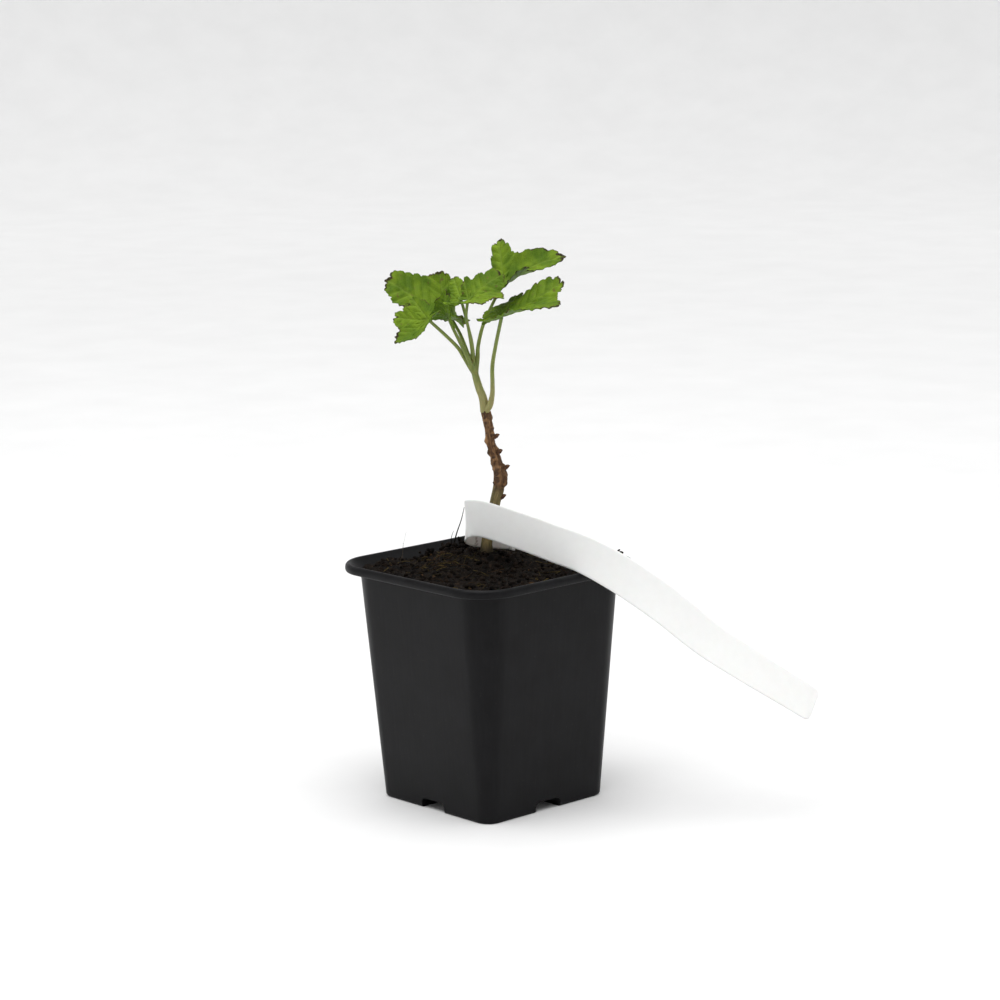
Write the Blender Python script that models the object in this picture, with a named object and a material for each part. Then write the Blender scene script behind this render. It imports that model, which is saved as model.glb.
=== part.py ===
"""Young pink champagne currant in a square nursery pot, with its loop label.

The pot stands on four feet with its sides along X and Y. The plant is laid out as a person
who faces one corner of the pot sees it, in mm from the pot's axis: across to the right, deep
away from them, and up from the ground. placed() turns such a point to the model's own axes.
"""
import bpy
import bmesh
import numpy as np
from math import cos, pi, radians, sin
from mathutils import Vector, noise

MM = 0.001
GAP = 0.3                       # clearance between touching pieces

# Pot: a square body that widens upwards to a shoulder, with a flared rim
POT_HEIGHT = 95.0
RIM_HALF = 45.0
RIM_CORNER = 17.0
BASE_HALF = 31.8
BASE_CORNER = 5.9
SHOULDER_HALF = 39.4
SHOULDER_CORNER = 12.6
SHOULDER_HEIGHT = 90.3
WALL = 0.9
FLOOR = 1.0
CORNER_STEPS = 8
CHANNEL_WIDTH = 13.0            # two channels cross under the pot and leave four feet
CHANNEL_HEIGHT = 4.0
DRAIN_RADIUS = 4.5
DRAIN_REACH = 20.0

# Soil: level with the shoulder at the wall, heaped up round the stem
SOIL_EDGE = 91.3
SOIL_HEAP = 5.8
HEAP_REACH = 18.0
STEM_FOOT = (-0.8, 6.0)         # across, deep
STEM_FOOT_HEIGHT = 97.4
LUMP_HEIGHT = 1.1
LUMP_SIZE = 9.0

LEAF_THICKNESS = 0.8
LEAF_RINGS = 4
LEAF_SPOKES = 38
LEAF_SWEEP = 0.94 * pi          # half the angle that a blade covers round its petiole

LABEL_WIDTH = 14.5
LABEL_THICKNESS = 0.4

# The pot's axis stands off the origin, which is under the middle of pot and label together
POT_AXIS = (-35.16, -11.14)
VIEW_TURN = radians(47.44)


for old in list(bpy.data.objects):
    bpy.data.objects.remove(old)


def placed(across, deep, up):
    """A point of the corner view as a point of the model, in metres."""
    x = POT_AXIS[0] + across * cos(VIEW_TURN) - deep * sin(VIEW_TURN)
    y = POT_AXIS[1] + across * sin(VIEW_TURN) + deep * cos(VIEW_TURN)
    return Vector((x, y, up)) * MM


def finish(name, colour, roughness):
    """The plain material of a sub-part."""
    material = bpy.data.materials.new(name)
    material.use_nodes = True
    shader = material.node_tree.nodes["Principled BSDF"]
    shader.inputs["Base Color"].default_value = (*colour, 1.0)
    shader.inputs["Roughness"].default_value = roughness
    return material


BLACK_PLASTIC = finish("black_plastic", (0.022, 0.022, 0.024), 0.42)
COMPOST = finish("compost", (0.020, 0.014, 0.010), 0.95)
OLD_BARK = finish("old_bark", (0.17, 0.10, 0.05), 0.80)
BUD_SCALE = finish("bud_scale", (0.07, 0.035, 0.02), 0.75)
GREEN_SHOOT = finish("green_shoot", (0.42, 0.50, 0.18), 0.55)
LEAF_GREEN = finish("leaf_green", (0.20, 0.36, 0.06), 0.60)
WHITE_PLASTIC = finish("white_plastic", (0.85, 0.85, 0.84), 0.40)


def add_object(name, data, material):
    """Links a mesh or a curve as one named sub-part of the plant."""
    data.materials.append(material)
    piece = bpy.data.objects.new(name, data)
    bpy.context.scene.collection.objects.link(piece)
    return piece


def mesh_piece(name, bm, material, smooth=True):
    """Turns a bmesh into a sub-part with its faces pointing out."""
    bmesh.ops.recalc_face_normals(bm, faces=bm.faces)
    mesh = bpy.data.meshes.new(name)
    bm.to_mesh(mesh)
    bm.free()
    if smooth:
        mesh.shade_smooth()
        mesh.set_sharp_from_angle(angle=radians(35))
    return add_object(name, mesh, material)


def add_loop(bm, points):
    """One closed loop of edges through the points."""
    verts = [bm.verts.new(point) for point in points]
    return [bm.edges.new((verts[i - 1], verts[i])) for i in range(len(verts))]


def bridge_all(bm, loops):
    """Skins each loop to the next."""
    for lower, upper in zip(loops[:-1], loops[1:]):
        bmesh.ops.bridge_loops(bm, edges=lower + upper)


def cap(bm, loop):
    """Closes a loop with one flat face."""
    bmesh.ops.contextual_create(bm, geom=loop)


def rounded_square(half, corner, height):
    """Points round a square of the given half-width, with arcs of radius corner."""
    points = []
    for quarter in range(4):
        turn = quarter * pi / 2
        cx = (half - corner) * (cos(turn) - sin(turn))
        cy = (half - corner) * (sin(turn) + cos(turn))
        for step in range(CORNER_STEPS + 1):
            angle = turn + step / CORNER_STEPS * pi / 2
            x = POT_AXIS[0] + cx + corner * cos(angle)
            y = POT_AXIS[1] + cy + corner * sin(angle)
            points.append(Vector((x, y, height)) * MM)
    return points


def inner_size(height):
    """Half-width and corner radius inside the wall, below the shoulder."""
    share = height / SHOULDER_HEIGHT
    half = BASE_HALF + (SHOULDER_HALF - BASE_HALF) * share - WALL
    corner = BASE_CORNER + (SHOULDER_CORNER - BASE_CORNER) * share - WALL
    return half, corner


def cutter(name, bm):
    """A hidden helper for a Boolean."""
    piece = mesh_piece(name, bm, BLACK_PLASTIC, smooth=False)
    piece.hide_render = True
    piece.display_type = "WIRE"
    return piece


def boolean(piece, helper, operation):
    """Cuts a helper out of a piece, or joins it on."""
    modifier = piece.modifiers.new(helper.name, "BOOLEAN")
    modifier.operation = operation
    modifier.object = helper


def channel_bar(name, along_x, length, width, low, high, rounding):
    """A bar across the pot's foot, with its two long upper edges rounded."""
    bm = bmesh.new()
    bmesh.ops.create_cube(bm, size=1.0)
    size = (length, width) if along_x else (width, length)
    centre = Vector((POT_AXIS[0], POT_AXIS[1], (low + high) / 2)) * MM
    bmesh.ops.scale(bm, vec=(size[0] * MM, size[1] * MM, (high - low) * MM), verts=bm.verts)
    bmesh.ops.translate(bm, vec=centre, verts=bm.verts)
    if rounding:
        axis = 0 if along_x else 1
        top = [e for e in bm.edges
               if min(v.co.z for v in e.verts) > centre.z
               and abs(e.verts[0].co[axis] - e.verts[1].co[axis]) > 0.5 * length * MM]
        bmesh.ops.bevel(bm, geom=top, offset=rounding * MM, segments=3, profile=0.5,
                        affect="EDGES")
    return cutter(name, bm)


def make_pot():
    """The thin shell with its flared rim, the cross of channels underneath and the drain holes."""
    foot_half, foot_corner = inner_size(FLOOR)
    top_half, top_corner = inner_size(SHOULDER_HEIGHT)
    crest = POT_HEIGHT
    profile = [
        (BASE_HALF - 0.7, BASE_CORNER - 0.4, 0.0),
        (BASE_HALF, BASE_CORNER, 0.8),
        (SHOULDER_HALF, SHOULDER_CORNER, SHOULDER_HEIGHT),
        (SHOULDER_HALF + 2.0, SHOULDER_CORNER + 1.7, crest - 3.5),
        (RIM_HALF - 0.4, RIM_CORNER - 0.3, crest - 3.1),
        (RIM_HALF, RIM_CORNER, crest - 2.4),
        (RIM_HALF, RIM_CORNER, crest - 1.4),
        (RIM_HALF - 0.5, RIM_CORNER - 0.6, crest - 0.4),
        (RIM_HALF - 1.2, RIM_CORNER - 1.5, crest),
        (RIM_HALF - 2.0, RIM_CORNER - 2.2, crest - 0.2),
        (RIM_HALF - 3.0, RIM_CORNER - 3.0, crest - 1.4),
        (RIM_HALF - 4.8, RIM_CORNER - 4.1, crest - 3.1),
        (top_half, top_corner, SHOULDER_HEIGHT - 0.3),
        (foot_half, foot_corner, FLOOR),
    ]
    bm = bmesh.new()
    loops = [add_loop(bm, rounded_square(*row)) for row in profile]
    bridge_all(bm, loops)
    cap(bm, loops[0])
    cap(bm, loops[-1])
    pot = mesh_piece("pot", bm, BLACK_PLASTIC)
    roof = CHANNEL_HEIGHT + FLOOR
    for along_x in (True, False):
        side = "x" if along_x else "y"
        rib = channel_bar("rib_" + side, along_x, 2 * BASE_HALF - 0.6,
                          CHANNEL_WIDTH + 2 * WALL, 0.5, roof, 0)
        boolean(pot, rib, "UNION")
    for along_x in (True, False):
        side = "x" if along_x else "y"
        channel = channel_bar("channel_" + side, along_x, 2 * BASE_HALF + 10, CHANNEL_WIDTH,
                              -2.0, CHANNEL_HEIGHT, 2.0)
        boolean(pot, channel, "DIFFERENCE")
    for index, (x, y) in enumerate([(0, 0), (1, 0), (-1, 0), (0, 1), (0, -1)]):
        bm = bmesh.new()
        bmesh.ops.create_cone(bm, cap_ends=True, segments=12, radius1=DRAIN_RADIUS * MM,
                              radius2=DRAIN_RADIUS * MM, depth=6 * MM)
        centre = Vector((POT_AXIS[0] + x * DRAIN_REACH, POT_AXIS[1] + y * DRAIN_REACH, roof))
        bmesh.ops.translate(bm, vec=centre * MM, verts=bm.verts)
        boolean(pot, cutter(f"drain_{index}", bm), "DIFFERENCE")


def soil_height(x, y):
    """Height of the soil over a model point, in mm: a heap round the stem, with lumps between."""
    foot = placed(*STEM_FOOT, 0) / MM
    distance = (Vector((x, y)) - foot.xy).length
    heap = SOIL_HEAP * np.exp(-(distance / HEAP_REACH) ** 2)
    lump = noise.noise(Vector((x, y, 0)) / LUMP_SIZE) + 0.5 * noise.noise(Vector((x, y, 9)) / 4)
    rough = min(max((distance - 5) / 9, 0), 1)
    return SOIL_EDGE + heap + LUMP_HEIGHT * lump * rough


def make_soil():
    """The compost that fills the pot, down into the four feet."""
    bottom = FLOOR + GAP
    foot_half, foot_corner = inner_size(bottom)
    neck_half, neck_corner = inner_size(SHOULDER_HEIGHT - 1)
    bm = bmesh.new()
    rows = [
        (foot_half - GAP, foot_corner, bottom),
        (neck_half - GAP, neck_corner, SHOULDER_HEIGHT - 1),
        (neck_half + 0.2, neck_corner, SOIL_EDGE),
    ]
    loops = [add_loop(bm, rounded_square(*row)) for row in rows]
    centre = placed(*STEM_FOOT, 0) / MM - Vector((*POT_AXIS, 0))
    for share in (0.93, 0.82, 0.69, 0.55, 0.41, 0.28, 0.17, 0.09):
        ring = []
        for point in rounded_square((neck_half + 0.2) * share, neck_corner * share, 0):
            x = point.x / MM + centre.x * (1 - share)
            y = point.y / MM + centre.y * (1 - share)
            height = STEM_FOOT_HEIGHT - GAP if share < 0.1 else soil_height(x, y)
            ring.append(Vector((x, y, height)) * MM)
        loops.append(add_loop(bm, ring))
    bridge_all(bm, loops)
    cap(bm, loops[0])
    cap(bm, loops[-1])
    soil = mesh_piece("soil", bm, COMPOST)
    for along_x in (True, False):
        side = "x" if along_x else "y"
        room = channel_bar("room_" + side, along_x, 2 * BASE_HALF + 10,
                           CHANNEL_WIDTH + 2 * (WALL + GAP), -2.0,
                           CHANNEL_HEIGHT + FLOOR + GAP, 0)
        boolean(soil, room, "DIFFERENCE")


# Old wood: a crooked cutting with a flare at the soil and a thick knot a third of the way up
STEM = [
    (-0.8, 6.0, 97.4, 2.9),
    (-0.8, 6.0, 99.0, 2.45),
    (-0.6, 6.0, 101.2, 2.25),
    (0.6, 6.0, 107.0, 2.1),
    (3.0, 6.0, 117.5, 2.1),
    (5.0, 5.0, 126.0, 2.45),
    (4.0, 4.2, 133.4, 1.95),
    (1.7, 4.0, 140.6, 1.75),
    (0.9, 4.5, 147.0, 1.75),
    (-0.3, 5.2, 154.2, 1.7),
]

# This year's green shoot, which leans to the left of the corner view
SHOOT = [
    (-0.4, 5.2, 154.65, 1.7),
    (-1.2, 5.0, 158.8, 1.6),
    (-2.6, 4.5, 162.9, 1.5),
    (-3.9, 4.0, 168.0, 1.35),
    (-4.9, 3.2, 173.6, 1.1),
    (-5.1, 2.9, 177.6, 0.5),
]

# Buds on the old wood: height, side they point to (degrees from across towards deep), length
BUDS = {
    "bud_low": (118.0, -20, 2.6),
    "bud_knot": (130.0, -15, 2.4),
    "bud_middle": (136.6, -35, 2.2),
    "bud_high": (142.5, -10, 2.2),
}

# Petioles: rows of across, deep, up and radius from the shoot to the leaf's base
PETIOLES = {
    "petiole_left_low": [
        (-7.7, 2.3, 173.5, 0.85),
        (-8.3, 1.7, 176.3, 0.8),
        (-10.6, -1.8, 179.8, 0.75),
        (-15.3, -8.6, 185.7, 0.7),
        (-20.5, -14.9, 191.6, 0.7),
    ],
    "petiole_left_front": [
        (-6.4, 0.2, 173.5, 0.85),
        (-7.2, -0.6, 176.5, 0.8),
        (-9.7, -2.9, 182.2, 0.7),
        (-11.8, -5.1, 186.9, 0.65),
        (-12.5, -5.7, 188.3, 0.65),
    ],
    "petiole_left_high": [
        (-6.4, 5.2, 172.5, 0.85),
        (-6.8, 5.6, 176.3, 0.8),
        (-9.1, 7.7, 182.5, 0.7),
        (-11.3, 10.1, 186.6, 0.65),
        (-12.3, 11.2, 188.1, 0.65),
    ],
    "petiole_back": [
        (-4.7, 5.1, 176.5, 0.8),
        (-5.3, 5.3, 181.5, 0.75),
        (-6.3, 6.0, 186.2, 0.65),
        (-7.7, 7.5, 192.2, 0.6),
        (-8.8, 8.5, 196.4, 0.6),
    ],
    "petiole_middle": [
        (-4.9, 1.0, 177.5, 0.75),
        (-5.4, -0.8, 181.7, 0.7),
        (-6.2, -5.0, 187.5, 0.65),
        (-6.9, -10.8, 193.1, 0.6),
        (-6.3, -15.6, 198.4, 0.6),
    ],
    "petiole_right_high": [
        (-2.8, 3.6, 174.5, 0.85),
        (-2.6, 4.0, 179.5, 0.75),
        (-0.6, 4.8, 187.2, 0.7),
        (3.0, 5.8, 195.0, 0.65),
        (6.9, 6.3, 202.6, 0.65),
    ],
    "petiole_right_low": [
        (1.6, 2.9, 155.2, 1.1),
        (2.4, 2.2, 159.4, 0.95),
        (2.7, 0.5, 164.9, 0.85),
        (2.8, -3.0, 172.5, 0.8),
        (4.2, -7.2, 181.0, 0.75),
        (6.3, -11.2, 191.5, 0.75),
    ],
}

# Leaves: the blade starts at base. Lobes are turn from the midrib, reach, width and lift,
# with turn and width in radians and the rest as shares of the size.
LEAVES = {
    "leaf_left_high": dict(
        base=(-13.7, 13.2, 190.6), size=24.3,
        heading=168.0, rise=24.0, roll=-16.0,
        fold=-0.13, droop=0.03, cup=-0.26, twist=-0.47,
        ruffle=0.15, waves=6.0, phase=2.5, web=0.36,
        lobes=[
            (0, 0.8, 0.42, 0),
            (0.91, 0.55, 0.42, 0.39),
            (-0.84, 0.35, 0.42, 0.37),
            (1.98, 0.21, 0.42, 0.28),
            (-1.94, 0.12, 0.42, -0.15),
        ],
    ),
    "leaf_left_low": dict(
        base=(-21.6, -15.9, 192.9), size=16.0,
        heading=186.0, rise=-44.0, roll=-19.0,
        fold=0.45, droop=0.4, cup=0.18, twist=-0.01,
        ruffle=0.03, waves=4.0, phase=0.1, web=0.42,
        lobes=[
            (0, 0.52, 0.47, 0),
            (0.84, 0.35, 0.36, -0.14),
            (-0.84, 0.4, 0.36, 0.01),
            (1.69, 0.23, 0.4, 0),
            (-1.69, 0.23, 0.4, 0.07),
        ],
    ),
    "leaf_left_front": dict(
        base=(-13.8, -7.5, 192.4), size=10.5,
        heading=-110.0, rise=40.0, roll=-36.0,
        fold=-0.26, droop=0.68, cup=-0.68, twist=-0.15,
        ruffle=0.01, waves=4.0, phase=2.4, web=0.42,
        lobes=[
            (0, 0.74, 0.5, 0),
            (0.84, 0.28, 0.36, 0),
            (-0.84, 0.28, 0.36, -0.31),
            (1.69, 0.07, 0.4, 0),
            (-1.69, 0.42, 0.4, -0.16),
        ],
    ),
    "leaf_back": dict(
        base=(-9.2, 9.0, 197.7), size=12.0,
        heading=98.0, rise=19.0, roll=-28.0,
        fold=0.05, droop=0.18, cup=0, twist=-0.08,
        ruffle=0.04, waves=4.0, phase=0.9, web=0.42,
        lobes=[
            (0, 0.83, 0.37, 0),
            (1.02, 0.15, 0.36, 0),
            (-1.02, 0.15, 0.36, -0.01),
            (2.03, 0.1, 0.4, 0.09),
            (-2.03, 0.1, 0.4, 0.11),
        ],
    ),
    "leaf_middle": dict(
        base=(-6.1, -16.3, 200.0), size=15.7,
        heading=-34.0, rise=27.0, roll=26.0,
        fold=0.47, droop=-0.67, cup=0.45, twist=0.06,
        ruffle=0.11, waves=3.4, phase=-2.4, web=0.36,
        lobes=[
            (0, 0.48, 0.34, 0),
            (0.79, 0.7, 0.42, -0.36),
            (-0.75, 0.54, 0.42, -0.28),
            (1.72, 0.13, 0.42, 0.19),
            (-2.11, 0.19, 0.42, 0.05),
        ],
    ),
    "leaf_right_high": dict(
        base=(7.6, 4.5, 203.9), size=22.3,
        heading=11.0, rise=33.0, roll=24.0,
        fold=0.4, droop=-0.42, cup=0.21, twist=0.14,
        ruffle=0.14, waves=4.0, phase=-0.3, web=0.36,
        lobes=[
            (0, 0.8, 0.4, 0),
            (1.06, 0.48, 0.41, 0.03),
            (-1.02, 0.36, 0.41, 0.16),
            (2.06, 0.12, 0.42, -0.32),
            (-1.96, 0.31, 0.42, 0.13),
        ],
    ),
    "leaf_right_low": dict(
        base=(6.6, -13.4, 192.8), size=26.0,
        heading=6.0, rise=22.0, roll=5.0,
        fold=0.35, droop=0.24, cup=-0.41, twist=0.39,
        ruffle=0.12, waves=4.3, phase=0.3, web=0.36,
        lobes=[
            (0, 0.65, 0.39, 0),
            (1.04, 0.37, 0.42, -0.11),
            (-0.77, 0.7, 0.42, 0.03),
            (1.7, 0.28, 0.42, -0.11),
            (-2.09, 0.22, 0.42, 0.07),
        ],
    ),
}

# Label: rows of across, deep, up and lean in degrees along the middle of the band. It starts
# inside the band at the front, goes once round the stem and on over the rim to the right.
LABEL_ROWS = [
    (8.2, -9.6, 108.2, 0),
    (10.2, -3.5, 106.9, 0),
    (9.3, 4.0, 105.5, 0),
    (6.0, 9.8, 104.7, 0),
    (0.8, 12.6, 104.5, 0),
    (-4.9, 11.2, 105.7, 0),
    (-8.4, 6.0, 108.6, 0),
    (-8.0, 0.3, 111.6, 0),
    (-4.6, -3.4, 112.6, 0),
    (0.2, -6.6, 112.1, 0),
    (8.0, -12.0, 110.4, 2),
    (16.4, -17.4, 108.4, 4),
    (25.4, -22.6, 105.8, 6),
    (36.3, -28.2, 102.6, 8),
    (45.0, -32.0, 98.6, 12),
    (54.2, -35.2, 93.3, 18),
    (67.2, -39.0, 84.3, 26),
    (83.7, -42.0, 71.0, 32),
    (101.3, -43.0, 59.2, 36),
    (117.7, -42.0, 48.4, 38),
    (123.5, -41.3, 44.4, 38),
]
LABEL_CUT = 9                   # the row where the loop ends and the tail begins
LABEL_END_ROUND = 2.5


def smooth_rows(rows, steps):
    """A Catmull-Rom curve through rows of numbers, with the given steps between two rows."""
    rows = np.array(rows, float)
    ends = np.vstack([2 * rows[0] - rows[1], rows, 2 * rows[-1] - rows[-2]])
    t = np.linspace(0, 1, steps, endpoint=False)[:, None]
    parts = []
    for a, b, c, d in zip(ends[:-3], ends[1:-2], ends[2:-1], ends[3:]):
        curve = 2 * b + (c - a) * t + (2 * a - 5 * b + 4 * c - d) * t ** 2
        parts.append(0.5 * (curve + (3 * b - a - 3 * c + d) * t ** 3))
    return np.vstack(parts + [rows[-1:]])


def limb(name, rows, material, steps=3):
    """A round tapering limb through rows of across, deep, up and radius."""
    curve = bpy.data.curves.new(name, "CURVE")
    curve.dimensions = "3D"
    curve.bevel_depth = MM
    curve.bevel_resolution = 2
    curve.use_fill_caps = True
    points = smooth_rows(rows, steps)
    spline = curve.splines.new("POLY")
    spline.points.add(len(points) - 1)
    for target, (across, deep, up, radius) in zip(spline.points, points):
        target.co = (*placed(across, deep, up), 1)
        target.radius = radius
    return add_object(name, curve, material)


def make_bud(name, height, side, length):
    """A small pointed bud that sits against the stem at a height."""
    rows = smooth_rows(STEM, 8)
    across, deep, radius = (np.interp(height, rows[:, 2], rows[:, k]) for k in (0, 1, 3))
    out = np.array([cos(radians(side)), sin(radians(side)), 0])
    start = np.array([across, deep, height]) + out * (radius + GAP + 0.6)
    tip = start + (out + np.array([0, 0, 0.6])) * length
    middle = (start + tip) / 2
    limb(name, [(*start, 0.75), (*middle, 0.95), (*tip, 0.25)], BUD_SCALE, steps=2)


def leaf_margin(angle, leaf):
    """How far the blade reaches from the petiole at an angle from its midrib.

    The web between the lobes, plus one bell curve for each lobe, drawn in at the back where
    the blade is notched for its petiole.
    """
    reach = np.full_like(angle, leaf["web"])
    for turn, length, width, _ in leaf["lobes"]:
        reach += length * np.exp(-((angle - turn) / width) ** 2)
    notch = np.clip((LEAF_SWEEP + 0.28 - abs(angle)) / 0.65, 0.35, 1) ** 0.8
    return leaf["size"] * reach * notch


def leaf_points(leaf):
    """The blade as rings of points round its petiole, in the corner view, ring 0 its middle.

    Height over the flat blade is a fold along the midrib, a droop along it, a cup across it,
    a twist, a ruffle that grows towards the margin, and each lobe's own lift.
    """
    angle = np.linspace(-LEAF_SWEEP, LEAF_SWEEP, LEAF_SPOKES)
    share = np.linspace(0, 1, LEAF_RINGS + 1)[:, None]
    size = leaf["size"]
    reach = share * leaf_margin(angle, leaf)
    along = reach * np.cos(angle)
    aside = reach * np.sin(angle)
    height = leaf["fold"] * (np.sqrt(aside ** 2 + 4) - 2)
    height = height + leaf["droop"] * along * abs(along) / size / 2
    height = height + leaf["cup"] * aside ** 2 / size / 2 + leaf["twist"] * along * aside / size
    wave = np.sin(leaf["waves"] * angle + leaf["phase"])
    height = height + leaf["ruffle"] * size * share ** 2.2 * wave / 2
    for turn, _, _, lift in leaf["lobes"]:
        height = height + lift * size * share ** 1.6 * np.exp(-((angle - turn) / 0.55) ** 2)
    heading, rise, roll = (radians(leaf[key]) for key in ("heading", "rise", "roll"))
    midrib = np.array([cos(heading) * cos(rise), sin(heading) * cos(rise), sin(rise)])
    level = np.array([-sin(heading), cos(heading), 0])
    face = np.cross(midrib, level)
    left = cos(roll) * level + sin(roll) * face
    up = cos(roll) * face - sin(roll) * level
    flat = along[..., None] * midrib + aside[..., None] * left
    return np.array(leaf["base"]) + flat + height[..., None] * up


def make_leaf(name, leaf):
    """A thin closed blade with the leaf's lobes, which the teeth and veins are left off."""
    points = leaf_points(leaf)
    bm = bmesh.new()
    middle = bm.verts.new(placed(*points[0, 0]))
    rings = [[bm.verts.new(placed(*point)) for point in ring] for ring in points[1:]]
    for first, second in zip(rings[0][:-1], rings[0][1:]):
        bm.faces.new((middle, first, second))
    for inner, outer in zip(rings[:-1], rings[1:]):
        for i in range(LEAF_SPOKES - 1):
            bm.faces.new((inner[i], outer[i], outer[i + 1], inner[i + 1]))
    blade = mesh_piece(name, bm, LEAF_GREEN)
    thickness = blade.modifiers.new("thickness", "SOLIDIFY")
    thickness.thickness = LEAF_THICKNESS * MM
    thickness.offset = 0


def label_frame(rows):
    """Points along the label with the direction of its width at each, in the corner view."""
    points = rows[:, :3]
    tangent = np.gradient(points, axis=0)
    tangent /= np.linalg.norm(tangent, axis=1)[:, None]
    face = np.cross(tangent, [0, 0, 1])
    face /= np.linalg.norm(face, axis=1)[:, None]
    upright = np.cross(face, tangent)
    lean = np.radians(rows[:, 3])[:, None]
    return points, upright * np.cos(lean) - face * np.sin(lean)


def make_strip(name, points, width_direction, half_widths):
    """A stretch of the label: a thin band along the points."""
    bm = bmesh.new()
    offsets = width_direction * half_widths[:, None]
    lower = [bm.verts.new(placed(*point)) for point in points - offsets]
    upper = [bm.verts.new(placed(*point)) for point in points + offsets]
    for i in range(len(points) - 1):
        bm.faces.new((lower[i], lower[i + 1], upper[i + 1], upper[i]))
    strip = mesh_piece(name, bm, WHITE_PLASTIC)
    thickness = strip.modifiers.new("thickness", "SOLIDIFY")
    thickness.thickness = LABEL_THICKNESS * MM
    thickness.offset = 0


def make_label():
    """The loop round the stem and the long tail over the rim, with a hair's gap between."""
    steps = 4
    points, width_direction = label_frame(smooth_rows(LABEL_ROWS, steps))
    half = np.full(len(points), LABEL_WIDTH / 2)
    half[-1] -= LABEL_END_ROUND
    cut = LABEL_CUT * steps
    forward = points[cut + 1] - points[cut]
    forward *= 0.55 * GAP / np.linalg.norm(forward)
    loop = np.vstack([points[:cut], points[cut] - forward])
    tail = np.vstack([points[cut] + forward, points[cut + 1:]])
    make_strip("label_loop", loop, width_direction[:cut + 1], half[:cut + 1])
    make_strip("label_tail", tail, width_direction[cut:], half[cut:])
    length = np.linalg.norm(np.diff(points, axis=0), axis=1).sum()
    print(f"label: {length:.0f} mm long")


make_pot()
make_soil()
limb("stem", STEM, OLD_BARK)
limb("shoot", SHOOT, GREEN_SHOOT)
for bud, numbers in BUDS.items():
    make_bud(bud, *numbers)
for petiole, rows in PETIOLES.items():
    limb(petiole, rows, GREEN_SHOOT, steps=2)
for leaf_name, numbers in LEAVES.items():
    make_leaf(leaf_name, numbers)
make_label()
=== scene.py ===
# %% [markdown]
# # A young currant in its nursery pot
#
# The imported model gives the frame: every piece below is made in metres where the CAD says it
# is. The plant is measured as a person sees it who faces one corner of the square pot, in mm
# from the pot's axis: across to the right, deep away from them, up from the ground.

# %% Load the frame
from math import cos, pi, radians, sin
import bmesh
import bpy
import numpy as np
from mathutils import Matrix, Vector


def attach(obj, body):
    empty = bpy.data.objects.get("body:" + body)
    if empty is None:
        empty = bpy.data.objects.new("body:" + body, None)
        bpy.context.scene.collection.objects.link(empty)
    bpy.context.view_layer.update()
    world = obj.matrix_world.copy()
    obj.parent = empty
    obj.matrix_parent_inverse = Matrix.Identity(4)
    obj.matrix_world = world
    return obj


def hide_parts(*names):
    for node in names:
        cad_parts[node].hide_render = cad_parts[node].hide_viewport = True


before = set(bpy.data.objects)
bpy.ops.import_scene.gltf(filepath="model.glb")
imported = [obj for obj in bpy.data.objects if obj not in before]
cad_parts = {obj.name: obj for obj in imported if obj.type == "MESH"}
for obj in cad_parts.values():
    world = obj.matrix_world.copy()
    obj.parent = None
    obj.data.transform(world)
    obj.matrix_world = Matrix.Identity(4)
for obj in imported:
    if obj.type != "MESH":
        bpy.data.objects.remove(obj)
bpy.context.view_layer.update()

# %% [markdown]
# The pot's axis stands beside the origin, and the corner view is turned by VIEW_TURN. One
# function turns points of the corner view to the model's own axes.

# %% Points of the corner view in the model
MM = 0.001
POT_AXIS = np.array([-35.16, -11.14])
VIEW_TURN = radians(47.44)
TURN_ROWS = np.array([
    [cos(VIEW_TURN), -sin(VIEW_TURN), 0.0],
    [sin(VIEW_TURN), cos(VIEW_TURN), 0.0],
    [0.0, 0.0, 1.0],
])


def turned(points):
    """Directions of the corner view as directions of the model: a turn about the upright."""
    return np.asarray(points, float) @ TURN_ROWS.T


def placed(points):
    """Points of the corner view, in mm, as points of the model, in metres."""
    return (turned(points) + np.array([*POT_AXIS, 0.0])) * MM


print("stem foot", placed([-0.8, 6.0, 97.4]))

# %% [markdown]
# Relief and colour both come from smooth random fields. A field is a lattice of random numbers
# with smoothstep blending between its corners. A surface that is rough at several scales adds
# up fields of several sizes.

# %% Random fields
LATTICE_SIDE = 32
LATTICE_START = 100.0
LATTICE = np.random.default_rng(11).random((LATTICE_SIDE,) * 3) * 2 - 1


def field(points, size):
    """A smooth random number from -1 to 1 for each point, with lumps of about the given size."""
    place = np.asarray(points, float) / size + LATTICE_START
    low = np.floor(place).astype(int)
    part = place - low
    part = part * part * (3 - 2 * part)
    total = np.zeros(place.shape[:-1])
    for corner in range(8):
        step = np.array([corner & 1, corner >> 1 & 1, corner >> 2 & 1])
        weight = np.prod(np.where(step, part, 1 - part), axis=-1)
        x, y, z = np.moveaxis((low + step) % LATTICE_SIDE, -1, 0)
        total += weight * LATTICE[x, y, z]
    return total


def blend(low, high, value):
    """Zero below low, one above high, and a smooth step between."""
    t = np.clip((value - low) / (high - low), 0, 1)
    return t * t * (3 - 2 * t)


def mix(first, second, share):
    """Colour first turning into colour second as share goes from 0 to 1."""
    share = np.asarray(share)[..., None]
    return np.asarray(first) * (1 - share) + np.asarray(second) * share


print("field test", field(np.array([[1.0, 2.0, 3.0]]), 4.0))

# %% [markdown]
# Most surfaces are grids: rows of points along a path, columns round it. One function turns a
# grid into a mesh, with a colour for each point in the attribute named tint.

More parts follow.
